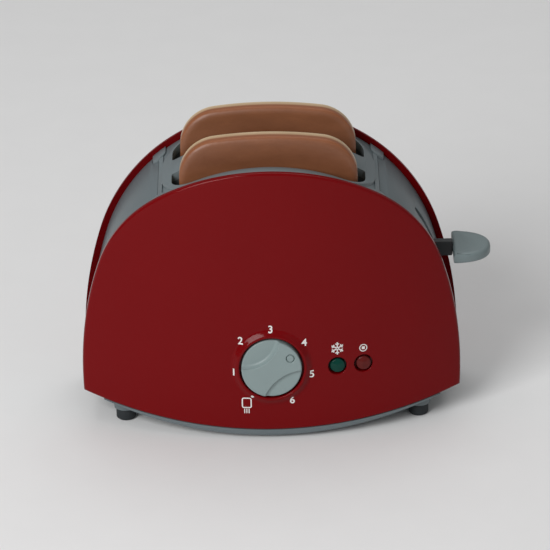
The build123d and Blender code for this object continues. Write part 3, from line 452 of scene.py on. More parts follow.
def endGrowth(tree, given, shape, **turn):
    # the shape on every spot, made real and given its finish
    placed = addNode(tree, "GeometryNodeInstanceOnPoints", {
        "Points": given["Spots"], "Instance": shape, **turn})
    plain = addNode(tree, "GeometryNodeRealizeInstances", {0: placed.outputs[0]})
    dressed = addNode(tree, "GeometryNodeSetMaterial", {
        "Geometry": plain.outputs[0], "Material": given["Finish"]})
    tree.links.new(dressed.outputs[0], tree.nodes.new("NodeGroupOutput").inputs[0])
    return tree


def vector(tree, x=0.0, y=0.0, z=0.0):
    return addNode(tree, "ShaderNodeCombineXYZ", {0: x, 1: y, 2: z}).outputs[0]


def numbered(tree, count):
    # points to be placed, and the number of each
    line = addNode(tree, "GeometryNodeMeshLine", {"Count": count, "Offset": (0, 0, 0)})
    return line.outputs[0], addNode(tree, "GeometryNodeInputIndex").outputs[0]


def joined(tree, kind, parts, socket=0, **settings):
    made = addNode(tree, kind, **settings)
    for part in parts:
        tree.links.new(part, made.inputs[socket])
    return made


def moved(tree, geometry, **place):
    inputs = {"Geometry": geometry}
    inputs.update({key.capitalize(): value for key, value in place.items()})
    return addNode(tree, "GeometryNodeTransform", inputs).outputs[0]


def grow(tree, values, spots):
    # runs a tree on some points and gives back the plain mesh
    mesh = bpy.data.meshes.new(tree.name)
    mesh.from_pydata([tuple(spot) for spot in spots], [], [])
    holder = bpy.data.objects.new(tree.name, mesh)
    scene.collection.objects.link(holder)
    modifier = holder.modifiers.new("grow", "NODES")
    modifier.node_group = tree
    for item in tree.interface.items_tree:
        if item.item_type == "SOCKET" and item.in_out == "INPUT" and item.name in values:
            modifier[item.identifier] = values[item.name]
    graph = bpy.context.evaluated_depsgraph_get()
    plain = bpy.data.meshes.new_from_object(holder.evaluated_get(graph), depsgraph=graph)
    holder.modifiers.clear()
    bpy.data.objects.remove(holder)
    return plain


# the shells: one leaning arc in plan, cut to an arch of three arcs a side
shell = {
    "width": 190.0, "crown": 142.0, "corner": 15.0, "belly": 10.0,
    "crownRadius": 101.0, "crownAngle": 30.7,
    "shoulderRadius": 77.4, "shoulderAngle": 41.1,
    "depth": 98.0, "bulge": 26.0, "lean": 4.0, "wall": 2.5, "edge": 1.1,
    "step": 2.6,                # spacing of the points on the faces
    "holeGap": 0.4, "rimGap": 0.45,     # parts of a step left free beside holes and rims
}
dial = {
    "height": 39.0, "hole": 16.1, "rimRound": 0.6, "rimTop": 17.3, "foot": 20.8, "proud": 1.5,
    "flare": 0.6,               # how softly the collar runs out into the shell
    "back": 18.0, "wellDepth": 3.2, "wellBack": 4.6, "spindleHole": 3.4, "sides": 120,
    "rings": 14, "ringsPast": 0.4,
}
buttons = {
    "xs": (32.8, 45.8), "height": 38.0, "hole": 4.6, "lip": 0.4, "tube": 5.9, "seat": 4.0,
    "ringPast": 0.8, "sides": 48,
}
leanSin, leanCos = sin(radians(shell["lean"])), cos(radians(shell["lean"]))
planRadius = ((shell["width"] / 2) ** 2 + shell["bulge"] ** 2) / (2 * shell["bulge"])
dialSlant = (dial["height"] - shell["corner"]) / leanCos
buttonSlant = (buttons["height"] - shell["corner"]) / leanCos


def sag(x, deep=0.0):
    return planRadius - sqrt((planRadius - deep) ** 2 - x * x)


def shellPoint(x, slant, inward, side=-1):
    # x, distance up the lean, distance in from the foremost line
    y = -shell["depth"] / 2 + slant * leanSin + inward * leanCos
    z = shell["corner"] + slant * leanCos - inward * leanSin
    return (x, -side * y, z)


def arcPoints(centre, radius, start, end, step):
    count = max(2, ceil(abs(radians(end - start)) * radius / step))
    angles = [radians(start + (end - start) * i / count) for i in range(count + 1)]
    return [(centre[0] + radius * cos(a), centre[1] + radius * sin(a)) for a in angles]


def archOutline(s):
    half, low = s["width"] / 2, s["corner"]
    crownCentre = (0, s["crown"] - s["crownRadius"])
    a1 = 90 - s["crownAngle"]
    a2 = a1 - s["shoulderAngle"]
    c2, s2 = cos(radians(a2)), sin(radians(a2))
    join = s["crownRadius"] - s["shoulderRadius"]
    shoulder = (join * cos(radians(a1)), crownCentre[1] + join * sin(radians(a1)))
    top = (shoulder[0] + s["shoulderRadius"] * c2, shoulder[1] + s["shoulderRadius"] * s2)
    dx, dz = half - top[0], low - top[1]
    radius = -(dx * dx + dz * dz) / (2 * (dx * c2 + dz * s2))
    side = (top[0] - radius * c2, top[1] - radius * s2)
    a3 = degrees(atan2(low - side[1], half - side[0]))
    bellyRadius = (half ** 2 + s["belly"] ** 2) / (2 * s["belly"])
    belly = (0, low - s["belly"] + bellyRadius)
    spread = degrees(asin(half / bellyRadius))
    right = arcPoints(side, radius, a3, a2, s["step"])
    right += arcPoints(shoulder, s["shoulderRadius"], a2, a1, s["step"])[1:]
    right += arcPoints(crownCentre, s["crownRadius"], a1, 90, s["step"])[1:]
    bottom = arcPoints(belly, bellyRadius, 270 - spread, 270 + spread, s["step"])
    return right + mirrored(right) + bottom[1:-1]


def mirrored(right):
    # the left half of an outline whose right half ends on the middle
    return [(-x, z) for x, z in reversed(right[:-1])]


def inset(points, amount):
    # polygon moved inwards, with mitred corners
    n, inner = len(points), []
    for i in range(n):
        (x0, y0), (x1, y1), (x2, y2) = points[i - 1], points[i], points[(i + 1) % n]
        l0, l1 = hypot(x1 - x0, y1 - y0), hypot(x2 - x1, y2 - y1)
        n0 = ((y0 - y1) / l0, (x1 - x0) / l0)
        n1 = ((y1 - y2) / l1, (x2 - x1) / l1)
        share = amount / (1 + n0[0] * n1[0] + n0[1] * n1[1])
        inner.append((x1 + share * (n0[0] + n1[0]), y1 + share * (n0[1] + n1[1])))
    return inner


def edgeRing(points, deep):
    # (x, slant, inward) of outline points on the surface this deep
    ring = []
    for x, z in points:
        inward = sag(x, deep)
        ring.append((x, (z - shell["corner"] + inward * leanSin) / leanCos, inward))
    return ring


def collarOut(x, slant):
    # how far the outside stands in front of the foremost line, collar included
    r = hypot(x, slant - dialSlant)
    share = min(1, max(0, (dial["foot"] - r) / (dial["foot"] - dial["rimTop"])))
    share = share * share * (1 + dial["flare"] - dial["flare"] * share)
    return share * dial["proud"] - (1 - share) * sag(x)


def fillFace(boundary, holes, extra, step, pointAt):
    # points and triangles over the region inside boundary and outside the round holes
    points, edges = [], []
    for ring in [boundary] + [circle(*hole) for hole in holes]:
        start, n = len(points), len(ring)
        points += [(p[0], p[1]) for p in ring]
        edges += [(start + i, start + (i + 1) % n) for i in range(n)]
    outline = np.array([(p[0], p[1]) for p in boundary])

    def inside(at):
        x0, y0 = outline.T
        x1, y1 = np.roll(outline, -1, axis=0).T
        px, py = at[:, :1], at[:, 1:]
        crossing = ((y0 > py) != (y1 > py)) & (
            px < (x1 - x0) * (py - y0) / np.where(y1 == y0, 1e-9, y1 - y0) + x0
        )
        ok = crossing.sum(axis=1) % 2 == 1
        for cx, cy, r, n in holes:
            ok &= np.hypot(at[:, 0] - cx, at[:, 1] - cy) > r * cos(pi / n) ** 2
        return ok

    low, high = outline.min(axis=0), outline.max(axis=0)
    grid = np.array([(x, y) for x in np.arange(low[0], high[0], step)
                     for y in np.arange(low[1], high[1], step)])
    grid = grid[inside(grid)]
    clear = np.ones(len(grid), bool)
    for cx, cy, r, n in holes + extra:
        clear &= np.hypot(grid[:, 0] - cx, grid[:, 1] - cy) > r + step * shell["holeGap"]
    far = np.min(np.hypot(grid[:, None, 0] - outline[None, :, 0],
                          grid[:, None, 1] - outline[None, :, 1]), axis=1)
    grid = grid[clear & (far > step * shell["rimGap"])]
    points += [tuple(p) for p in grid] + [p for ring in extra for p in circle(*ring)]
    made = delaunay_2d_cdt([Vector(p) for p in points], edges, [], 0, 1e-6)
    flat, triangles = np.array([tuple(p) for p in made[0]]), np.array(made[2])
    triangles = triangles[inside(flat[triangles].mean(axis=1))]
    return [pointAt(x, y) for x, y in flat], triangles.tolist()


def makeShell(name, side, replaced, features):
    verts, faces = [], []
    frontHoles, backHoles, extra = [], [], []
    outline = archOutline(shell)
    edge = shell["edge"]
    rings = [edgeRing(inset(outline, edge * (1 - s)), edge * (1 - c)) for s, c in quarter(5)]
    rings.append(edgeRing(outline, shell["wall"]))
    skin(verts, faces, [[shellPoint(*p, side) for p in ring] for ring in rings])

    def outside(x, slant=0.0):
        return -collarOut(x, slant) if features else sag(x)

    def behind(x, slant=0.0):
        return sag(x, shell["wall"])

    def addHole(cx, slant, n, front, profile):
        # a hole turned on the shell's front, from its lip to the shell's back
        frontHoles.append((cx, slant, front, n))
        backHoles.append((cx, slant, profile[-1][0], n))
        skin(verts, faces, [[shellPoint(x, s, depthAt(x), side) for x, s in circle(cx, slant, r, n)]
                            for r, depthAt in profile + [(profile[-1][0], behind)]])

    if features:
        d, b = dial, buttons
        rim, lip = d["hole"] + d["rimRound"], b["hole"] + b["lip"]
        reach = d["foot"] + d["ringsPast"] - rim
        extra += [(0, dialSlant, rim + reach * i / d["rings"], d["sides"])
                  for i in range(1, d["rings"] + 1)]
        profile = [(rim - d["rimRound"] * s, d["proud"] - d["rimRound"] * (1 - c))
                   for s, c in quarter(4)]
        profile += [(d["hole"], -d["wellDepth"]), (d["spindleHole"], -d["wellDepth"]),
                    (d["spindleHole"], -d["wellBack"]), (d["back"], -d["wellBack"])]
        addHole(0, dialSlant, d["sides"], rim,
                [(r, lambda x, out=out: -out) for r, out in profile])
        for bx in b["xs"]:
            extra.append((bx, buttonSlant, lip + b["ringPast"], b["sides"]))
            profile = [(lip - b["lip"] * s, lambda x, drop=b["lip"] * (1 - c): sag(x) + drop)
                       for s, c in quarter(3)]
            seat = sag(bx) + b["seat"]
            profile += [(r, lambda x: seat) for r in (b["hole"], b["tube"])]
            addHole(bx, buttonSlant, b["sides"], lip, profile)

    for boundary, holes, more, step, depthAt in (
        (rings[0], frontHoles, extra, shell["step"], outside),
        (rings[-1], backHoles, [], 2 * shell["step"], behind),
    ):
        extend(verts, faces, *fillFace(
            boundary, holes, more, step, lambda x, s: shellPoint(x, s, depthAt(x, s), side)))
    makePiece(name, closedMesh(verts, faces), "shellRed", "housing", [replaced],
              sharp=50)


makeShell("frontShellSkin", -1, "front_shell", True)
makeShell("rearShellSkin", 1, "rear_shell", False)
print("shells made")


# the knob: a turned disc with two scoops beside a waisted bar, and a ring mark
knob = {
    "radius": 15.0, "proud": 3.0, "back": 3.0, "rounding": 0.7,
    # angle, distance out, radius and depth of each scoop
    "scoops": ((127.0, 21.2, 17.0, 2.8), (-53.0, 29.2, 23.0, 1.7)),
    "scoopWall": 2.4,           # width of the slope down into a scoop
    "scoopFoot": 2.4,           # how softly the slope meets the floor
    "scoopEdge": 0.15,          # part of the slope that rounds its upper edge
    "scoopRise": 0.4,           # how much shallower a scoop is at the knob's rim
    "mark": (9.4, 5.8), "markRadius": 1.95, "markWidth": 0.42, "markDepth": 0.9,
    "rings": 110, "sides": 320,
}


def knobTop(x, y):
    # height of the knob's face over the foremost line
    k = knob
    height = k["proud"]
    for angle, distance, radius, depth in k["scoops"]:
        at = radians(angle)
        inside = radius - hypot(x - distance * cos(at), y - distance * sin(at))
        share = min(1.0, max(0.0, inside / k["scoopWall"]))
        wall = (1 - (1 - share) ** k["scoopFoot"]) * smooth(share / k["scoopEdge"])
        out = (x * cos(at) + y * sin(at)) / k["radius"]
        height -= (depth - k["scoopRise"] * smooth(out)) * wall
    away = abs(hypot(x - k["mark"][0], y - k["mark"][1]) - k["markRadius"])
    return height - k["markDepth"] * (1 - smooth(away / k["markWidth"]))


def makeKnob(k):
    verts, faces = [], []

    def ring(radius, outAt):
        return [shellPoint(x, dialSlant + y, -outAt(x, y))
                for x, y in circle(0, 0, radius, k["sides"])]

    inner = k["radius"] - k["rounding"]
    rings = [ring(inner * i / k["rings"], knobTop) for i in range(1, k["rings"] + 1)]
    for s, c in quarter(5, 1):
        drop = k["rounding"] * (1 - c)
        rings.append(ring(inner + k["rounding"] * s, lambda x, y: knobTop(x, y) - drop))
    rings.append(ring(k["radius"], lambda x, y: -k["back"]))
    skin(verts, faces, rings)
    fan(verts, faces, rings[0], shellPoint(0, dialSlant, -knobTop(0, 0)))
    fan(verts, faces, rings[-1], shellPoint(0, dialSlant, k["back"]))
    makePiece("knobMoulding", closedMesh(verts, faces), "knobGrey", "dial",
              ["timer_knob"], sharp=55)


makeKnob(knob)
print("knob made")


# white prints, laid on the front shell
prints = {
    "proud": 0.04, "thick": 0.03, "grid": 0.5, "passes": 4,
    "digits": (("1", -18.9, -2.2), ("2", -15.3, 14.6), ("3", -0.3, 20.7),
               ("4", 16.4, 13.1), ("5", 20.0, -4.2), ("6", 10.1, -17.9)),
    "digitHeight": 3.9, "digitWeight": 0.10,
    "digitShare": 0.70,         # of the font's size that a digit is tall
    "dotAt": (-9.8, -15.3), "dotSize": 0.75, "dotSides": 32,
    "sliceAt": (-12.7, -19.25), "sliceWidth": 5.0, "sliceHeight": 5.7, "sliceLine": 0.6,
    "sliceCorner": 1.1, "sliceBars": 3, "sliceBarGap": 1.1, "sliceBarLength": 2.5,
    "sliceBarDrop": 0.3, "sliceBarWeight": 0.8,
    "flakeAt": (32.8, 8.5), "flakeSize": 3.3, "flakeArms": 6, "flakeLine": 0.6, "flakeAngle": 50.0,
    "haltAt": (45.8, 7.4), "haltRadius": 2.0, "haltLine": 0.45, "haltSquare": 1.5, "haltSides": 48,
}


def printFlat(name, flat):
    # a flat bmesh in dial-plane millimetres, cut fine, then laid on the shell as a thin film
    p = prints
    bmesh.ops.remove_doubles(flat, verts=flat.verts, dist=0.002)
    bmesh.ops.triangulate(flat, faces=flat.faces)
    for _ in range(p["passes"]):
        long = [e for e in flat.edges if e.calc_length() > p["grid"] * 2]
        if not long:
            break
        bmesh.ops.subdivide_edges(flat, edges=long, cuts=1)
        bmesh.ops.triangulate(flat, faces=flat.faces)
    known, repeats = set(), []
    for f in flat.faces:
        key = frozenset(f.verts)
        if key in known:
            repeats.append(f)
        known.add(key)
    bmesh.ops.delete(flat, geom=repeats, context="FACES_ONLY")
    verts, faces = [], []
    flat.verts.index_update()
    n = len(flat.verts)
    for lift in (p["proud"], p["proud"] - p["thick"]):
        for v in flat.verts:
            x, slant = v.co.x, dialSlant + v.co.y
            verts.append(shellPoint(x, slant, -(collarOut(x, slant) + lift)))
    for f in flat.faces:
        ring = [v.index for v in f.verts]
        faces += [tuple(ring), tuple(n + i for i in reversed(ring))]
    for e in flat.edges:
        if len(e.link_faces) == 1:
            a, b = (v.index for v in e.verts)
            faces.append((a, b, n + b, n + a))
    flat.free()
    makePiece(name, closedMesh(verts, faces, 0.001), "printWhite", "housing",
              sharp=30)


def addOutline(bm, points):
    return [bm.verts.new((x, y, 0)) for x, y in points]


def addBar(bm, x0, y0, x1, y1, width):
    # a straight bar between two points
    along = Vector((x1 - x0, y1 - y0)).normalized()
    across = Vector((-along.y, along.x)) * width / 2
    a, b = Vector((x0, y0)), Vector((x1, y1))
    bm.faces.new(addOutline(bm, (a - across, b - across, b + across, a + across)))


def addBand(bm, outer, inner):
    # a flat band between two outlines of as many points
    outside, inside = addOutline(bm, outer), addOutline(bm, inner)
    for i in range(len(outer)):
        j = (i + 1) % len(outer)
        bm.faces.new((outside[i], outside[j], inside[j], inside[i]))


def flakeTree():
    # one branched arm, set round the middle of each spot
    tree, given = startGrowth("flakeArms", {
        "Arms": 6, "Size": 3.0, "Line": 0.5, "Start": 0.35, "Branch At": 0.55,
        "Branch Length": 0.36, "Branch Weight": 0.85, "Branch Angle": 0.87,
    })

    def bar(long, wide):
        return addNode(tree, "GeometryNodeMeshGrid", {
            "Size X": long, "Size Y": wide, "Vertices X": 2, "Vertices Y": 2}).outputs[0]

    long = sums(tree, "SUBTRACT", given["Size"], given["Start"])
    parts = [moved(tree, bar(long, given["Line"]), translation=vector(
        tree, sums(tree, "MULTIPLY_ADD", long, 0.5, given["Start"])))]
    short = sums(tree, "MULTIPLY", given["Size"], given["Branch Length"])
    branch = bar(short, sums(tree, "MULTIPLY", given["Line"], given["Branch Weight"]))
    branch = moved(tree, branch, translation=vector(tree, sums(tree, "MULTIPLY", short, 0.5)))
    root = vector(tree, sums(tree, "MULTIPLY", given["Size"], given["Branch At"]))
    for side in (-1.0, 1.0):
        turned = vector(tree, z=sums(tree, "MULTIPLY", given["Branch Angle"], side))
        parts.append(moved(tree, branch, translation=root, rotation=turned))
    arm = joined(tree, "GeometryNodeJoinGeometry", parts).outputs[0]
    ring, index = numbered(tree, given["Arms"])
    turn = sums(tree, "MULTIPLY_ADD", index, sums(tree, "DIVIDE", 2 * pi, given["Arms"]), pi / 2)
    star = addNode(tree, "GeometryNodeInstanceOnPoints", {
        "Points": ring, "Instance": arm, "Rotation": vector(tree, z=turn)}).outputs[0]
    return endGrowth(tree, given, star)


def makeDigit(p, digit, u, w):
    curve = bpy.data.curves.new("digit", "FONT")
    curve.body = digit
    curve.align_x, curve.align_y = "CENTER", "CENTER"
    curve.size = p["digitHeight"] / p["digitShare"]
    curve.offset = p["digitWeight"]
    curve.fill_mode = "FRONT"
    text = bpy.data.objects.new("digit", curve)
    scene.collection.objects.link(text)
    bpy.context.view_layer.update()
    flat = bmesh.new()
    flat.from_mesh(bpy.data.meshes.new_from_object(text))
    bpy.data.objects.remove(text)
    xs, ys = [v.co.x for v in flat.verts], [v.co.y for v in flat.verts]
    centre = Vector(((min(xs) + max(xs)) / 2, (min(ys) + max(ys)) / 2, 0))
    share = p["digitHeight"] / (max(ys) - min(ys))
    for v in flat.verts:
        v.co = (v.co - centre) * share + Vector((u, w, 0))
    printFlat("print" + digit, flat)


def makePrints(p):
    for digit in p["digits"]:
        makeDigit(p, *digit)
    dot, icon, flake, halt = (bmesh.new() for _ in range(4))
    dot.faces.new(addOutline(dot, circle(*p["dotAt"], p["dotSize"], p["dotSides"])))
    printFlat("printDot", dot)

    (sx, sy), line = p["sliceAt"], p["sliceLine"]
    wide, high = p["sliceWidth"], p["sliceHeight"]
    addBand(icon, roundedBox(sx, sy, wide, high, p["sliceCorner"]),
            roundedBox(sx, sy, wide - 2 * line, high - 2 * line, p["sliceCorner"] - line))
    foot = sy - high / 2 - p["sliceBarDrop"]
    for i in range(p["sliceBars"]):
        x = sx + (i - (p["sliceBars"] - 1) / 2) * p["sliceBarGap"]
        addBar(icon, x, foot - p["sliceBarLength"], x, foot, line * p["sliceBarWeight"])
    printFlat("printToast", icon)

    flake.from_mesh(grow(flakeTree(), {
        "Arms": p["flakeArms"], "Size": p["flakeSize"], "Line": p["flakeLine"],
        "Branch Angle": radians(p["flakeAngle"]), "Finish": looks["printWhite"],
    }, [(*p["flakeAt"], 0)]))
    printFlat("printFlake", flake)

    (hx, hy), radius, sides = p["haltAt"], p["haltRadius"], p["haltSides"]
    addBand(halt, circle(hx, hy, radius, sides), circle(hx, hy, radius - p["haltLine"], sides))
    half = p["haltSquare"] / 2
    addBar(halt, hx - half, hy, hx + half, hy, p["haltSquare"])
    printFlat("printHalt", halt)


makePrints(prints)
print("prints made")


# push buttons: a domed cap, the flange behind the shell and a stem
button = {
    "cap": 3.7, "proud": 0.6, "domeRadius": 2.9, "dome": 0.7, "edge": 0.9,
    "flange": 5.1, "flangeFrom": 4.1, "flangeTo": 5.1, "chamfer": 0.15, "stem": 1.5, "sides": 72,
}


def makeButton(name, x, node, finish):
    b, face = button, sag(x)
    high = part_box(node)[1].y / mm - middle.y
    end = (high + shell["depth"] / 2 - (buttonSlant + b["stem"]) * leanSin) / leanCos
    shoulder = face - b["proud"] + b["dome"]
    profile = [(b["domeRadius"] * i / 8, face - b["proud"] + b["dome"] * (i / 8) ** 2)
               for i in range(1, 9)]
    profile += [(b["domeRadius"] + (b["cap"] - b["domeRadius"]) * s, shoulder + b["edge"] * (1 - c))
                for s, c in quarter(6, 1)]
    front, back, c = face + b["flangeFrom"], face + b["flangeTo"], b["chamfer"]
    profile += [(b["cap"], front), (b["flange"] - c, front), (b["flange"], front + c),
                (b["flange"], back - c), (b["flange"] - c, back), (b["stem"], back),
                (b["stem"], end - c), (b["stem"] - c, end)]
    verts, faces = [], []
    loft(verts, faces, [[shellPoint(px, s, deep) for px, s in circle(x, buttonSlant, r, b["sides"])]
                        for r, deep in profile])
    makePiece(name, closedMesh(verts, faces), finish, node, [node], sharp=40)


makeButton("defrostCap", buttons["xs"][0], "defrost_button", "greenClear")
makeButton("stopCap", buttons["xs"][1], "stop_button", "redClear")


# lever: a dark stem out of the slot, its tongue held in a wide paddle
lever = {
    "height": 81.0, "root": 92.0, "corner": 0.5,
    "stem": (4.0, 8.0), "tongue": (3.2, 3.2),           # width and height
    "chamfer": 0.3, "shoulder": 0.5, "tip": 0.4,        # at the stem's ends and the tongue's
    "reach": 19.0, "half": 14.5, "fullness": 2.25, "thick": 5.0, "sides": 96, "rootSides": 24,
    "topRounding": 2.0, "footRounding": 1.0, "dish": 0.55, "dishStep": 1.0,
}


def makeLever(v):
    low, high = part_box("lever_arm")
    start, end = low.x / mm - middle.x, high.x / mm - middle.x
    root, stem, tongue = v["root"], v["stem"], v["tongue"]
    sections = [
        (start, stem, v["chamfer"]), (start + v["chamfer"], stem, 0.0),
        (root - v["shoulder"], stem, 0.0), (root, stem, v["shoulder"]),
        (root, tongue, 0.0), (end - v["tip"], tongue, 0.0), (end, tongue, v["tip"]),
    ]
    verts, faces = [], []
    loft(verts, faces, [
        [(x, y, z) for y, z in roundedBox(0, v["height"], w - 2 * cut, h - 2 * cut, v["corner"])]
        for x, (w, h), cut in sections
    ])
    makePiece("leverStem", closedMesh(verts, faces), "innerDark", "carriage",
              ["lever_arm"])

    outline, power = [], 2 / v["fullness"]
    for i in range(v["sides"] + 1):
        turn = pi * (i / v["sides"] - 0.5)
        outline.append((root + v["reach"] * abs(cos(turn)) ** power,
                        v["half"] * abs(sin(turn)) ** power * (1 if turn > 0 else -1)))
    outline += [(root, v["half"] * (1 - 2 * i / v["rootSides"])) for i in range(1, v["rootSides"])]
    bottom, top = v["height"] - v["thick"] / 2, v["height"] + v["thick"] / 2
    levels = slabLevels(bottom, 2 * [v["footRounding"]], 5, top, 2 * [v["topRounding"]], 8)
    levels += [(v["topRounding"] + v["dishStep"] * i, top - v["dish"] * smooth(i / 6))
               for i in range(1, 7)]
    verts, faces = [], []
    loft(verts, faces, [[(x, y, z) for x, y in inset(outline, amount)] for amount, z in levels])
    # the paddle's grey is the knob's grey with painted shade
    makePiece("leverPaddle", closedMesh(verts, faces), "paddleGreyPaintedShade", "carriage",
              ["lever_paddle"], sharp=50)


makeLever(lever)
print("buttons and lever made")


# toast: a bowed outline, a broad soft crust in front and a crisper cream back
toast = {
    # the arcs' centres and radii
    "crown": (0.0, -43.1, 196.1), "shoulder": (24.0, 131.36, 20.0), "corner": (39.0, 70.0, 5.0),
    "bend": 82.17,              # angle at which the shoulder meets the crown
    "frontEdge": (3.6, 2.0), "backEdge": (1.6, 1.4),
    "crustFrom": 0.25, "step": 1.4, "grid": 3.0,
}


def toastOutline(t):
    (cx, cz, cr), (sx, sz, sr), (kx, kz, kr) = t["corner"], t["shoulder"], t["crown"]
    right = arcPoints((cx, cz), cr, -90, 0, t["step"])
    count = round((sz - cz) / t["step"] / 2)
    right += [(cx + cr, cz + (sz - cz) * i / count) for i in range(1, count)]
    right += arcPoints((sx, sz), sr, 0, t["bend"], t["step"])
    right += arcPoints((kx, kz), kr, t["bend"], 90, t["step"] * 2)[1:]
    count = round(2 * cx / t["step"] / 2)
    foot = [(-cx + 2 * cx * i / count, cz - cr) for i in range(1, count)]
    return right + mirrored(right) + foot


def makeToast(name, node, body):
    t = toast
    low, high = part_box(node)
    front, back = low.y / mm - middle.y, high.y / mm - middle.y
    outline = toastOutline(t)
    rings = [[(x, y, z) for x, z in inset(outline, amount)] for amount, y in slabLevels(
        front, t["frontEdge"], 8, back, t["backEdge"], 5)]
    verts, faces = [], []
    skin(verts, faces, rings)
    for ring, y in ((rings[0], front), (rings[-1], back)):
        extend(verts, faces, *fillFace(
            [(x, z) for x, _, z in ring], [], [], t["grid"], lambda x, z: (x, y, z)))
    seam = (low.y + high.y) / 2
    looks[name] = toastMaterial(name + "Look", seam)
    piece = makePiece(name, closedMesh(verts, faces), name, body, [node], sharp=50)
    crust = []
    for v in piece.data.vertices:
        deep = (v.co.y - low.y) / mm
        share = (deep - t["crustFrom"]) / (t["frontEdge"][1] - t["crustFrom"])
        crust.append(min(1.0, max(0.0, share)) if v.co.y < seam else 0.0)
    piece.data.attributes.new("crust", "FLOAT", "POINT").data.foreach_set("value", crust)


makeToast("frontSlice", "toast_slice_front", "front_slice")
makeToast("rearSlice", "toast_slice_rear", "rear_slice")
print("toast made")


# springs and base screws are grown, one tree each
def coil(tree, turns, closed, height, radius, wire, perTurn):
    # wire wound on a helix from z 0 to height, with closed turns at both ends
    line, index = numbered(tree, sums(tree, "MULTIPLY_ADD", turns, perTurn, 1.0))
    turn = sums(tree, "DIVIDE", index, perTurn)
    last = sums(tree, "SUBTRACT", turns, closed)
    flat = sums(tree, "ADD", sums(tree, "MINIMUM", turn, closed),
                sums(tree, "MAXIMUM", sums(tree, "SUBTRACT", turn, last), 0.0))
    free = sums(tree, "SUBTRACT", last, closed)
    share = sums(tree, "DIVIDE", sums(tree, "SUBTRACT", turn, closed), free)
    share = sums(tree, "MINIMUM", sums(tree, "MAXIMUM", share, 0.0), 1.0)
    packed = sums(tree, "MULTIPLY", wire, sums(tree, "MULTIPLY_ADD", closed, 2.0, 1.0))
    rise = sums(tree, "MULTIPLY", share, sums(tree, "SUBTRACT", height, packed))
    level = sums(tree, "MULTIPLY_ADD", wire, sums(tree, "ADD", flat, 0.5), rise)
    angle = sums(tree, "MULTIPLY", turn, 2 * pi)
    place = vector(tree, sums(tree, "MULTIPLY", radius, sums(tree, "COSINE", angle)),
                   sums(tree, "MULTIPLY", radius, sums(tree, "SINE", angle)), level)
    path = addNode(tree, "GeometryNodeSetPosition", {
        "Geometry": line, "Position": place}).outputs[0]
    path = addNode(tree, "GeometryNodeMeshToCurve", {0: path}).outputs[0]
    section = addNode(tree, "GeometryNodeCurvePrimitiveCircle", {
        "Resolution": 10, "Radius": sums(tree, "MULTIPLY", wire, 0.5)}).outputs[0]
    return addNode(tree, "GeometryNodeCurveToMesh", {
        "Curve": path, "Profile Curve": section, "Fill Caps": True}).outputs[0]


def coilTree():
    tree, given = startGrowth("coilSpring", {
        "Turns": 9.0, "Closed Turns": 1.0, "Height": 50.0, "Coil Radius": 4.0, "Wire": 0.8,
        "Points A Turn": 36, "Lean": 0.0,
    })
    wound = coil(tree, given["Turns"], given["Closed Turns"], given["Height"],
                 given["Coil Radius"], given["Wire"], given["Points A Turn"])
    return endGrowth(tree, given, wound, Rotation=vector(tree, given["Lean"]))


def screwTree():
    # a domed head with a cross in it, looking down, and a threaded shank above
    tree, given = startGrowth("crossScrew", {
        "Head Radius": 2.7, "Head Height": 1.8, "Dome": 0.7,
        "Cross Length": 3.4, "Cross Width": 0.8, "Cross Depth": 1.1,
        "Shank Radius": 1.35, "Shank Length": 8.0, "Thread": 0.5, "Turns": 6.0,
        "Thread Start": 0.7, "Thread Short": 1.0,
        "Head Sides": 40, "Shank Sides": 32, "Points A Turn": 24,
    })
    tall, dome, long = given["Head Height"], given["Dome"], given["Shank Length"]

    def column(sides, radius, height, middleAt):
        made = addNode(tree, "GeometryNodeMeshCylinder", {
            "Vertices": sides, "Radius": radius, "Depth": height}).outputs[0]
        return moved(tree, made, translation=vector(
            tree, z=sums(tree, "MULTIPLY", height, middleAt)))

    disc = column(given["Head Sides"], given["Head Radius"], tall, -0.5)
    square = sums(tree, "MULTIPLY", given["Head Radius"], given["Head Radius"])
    ball = sums(tree, "DIVIDE", sums(tree, "MULTIPLY_ADD", dome, dome, square),
                sums(tree, "MULTIPLY", dome, 2.0))
    cap = addNode(tree, "GeometryNodeMeshUVSphere", {
        "Segments": given["Head Sides"], "Rings": given["Head Sides"], "Radius": ball}).outputs[0]
    cap = moved(tree, cap, translation=vector(tree, z=sums(tree, "SUBTRACT", ball, tall)))
    head = joined(tree, "GeometryNodeMeshBoolean", [disc, cap], 1, operation="INTERSECT")
    deep = sums(tree, "MULTIPLY", given["Cross Depth"], 2.0)
    low = vector(tree, z=sums(tree, "MULTIPLY", tall, -1.0))
    bars = []
    for wide, high in (("Cross Length", "Cross Width"), ("Cross Width", "Cross Length")):
        bar = addNode(tree, "GeometryNodeMeshCube", {
            "Size": vector(tree, given[wide], given[high], deep)}).outputs[0]
        bars.append(moved(tree, bar, translation=low))
    recess = joined(tree, "GeometryNodeMeshBoolean", bars, 1, operation="DIFFERENCE")
    tree.links.new(head.outputs[0], recess.inputs[0])
    core = sums(tree, "MULTIPLY_ADD", given["Thread"], -0.5, given["Shank Radius"])
    thread = coil(tree, given["Turns"], 0.0, sums(tree, "SUBTRACT", long, given["Thread Short"]),
                  core, given["Thread"], given["Points A Turn"])
    thread = moved(tree, thread, translation=vector(tree, z=given["Thread Start"]))
    parts = [recess.outputs[0], column(given["Shank Sides"], core, long, 0.5), thread]
    return endGrowth(tree, given, joined(tree, "GeometryNodeJoinGeometry", parts).outputs[0])


def grownPiece(name, tree, values, spots, replaced):
    finish = "springSteel"
    bm = bmesh.new()
    bm.from_mesh(grow(tree, {**values, "Finish": looks[finish]}, spots))
    for v in bm.verts:
        v.co = (v.co + middle) * mm
    return makePiece(name, bm, finish, "housing", replaced)


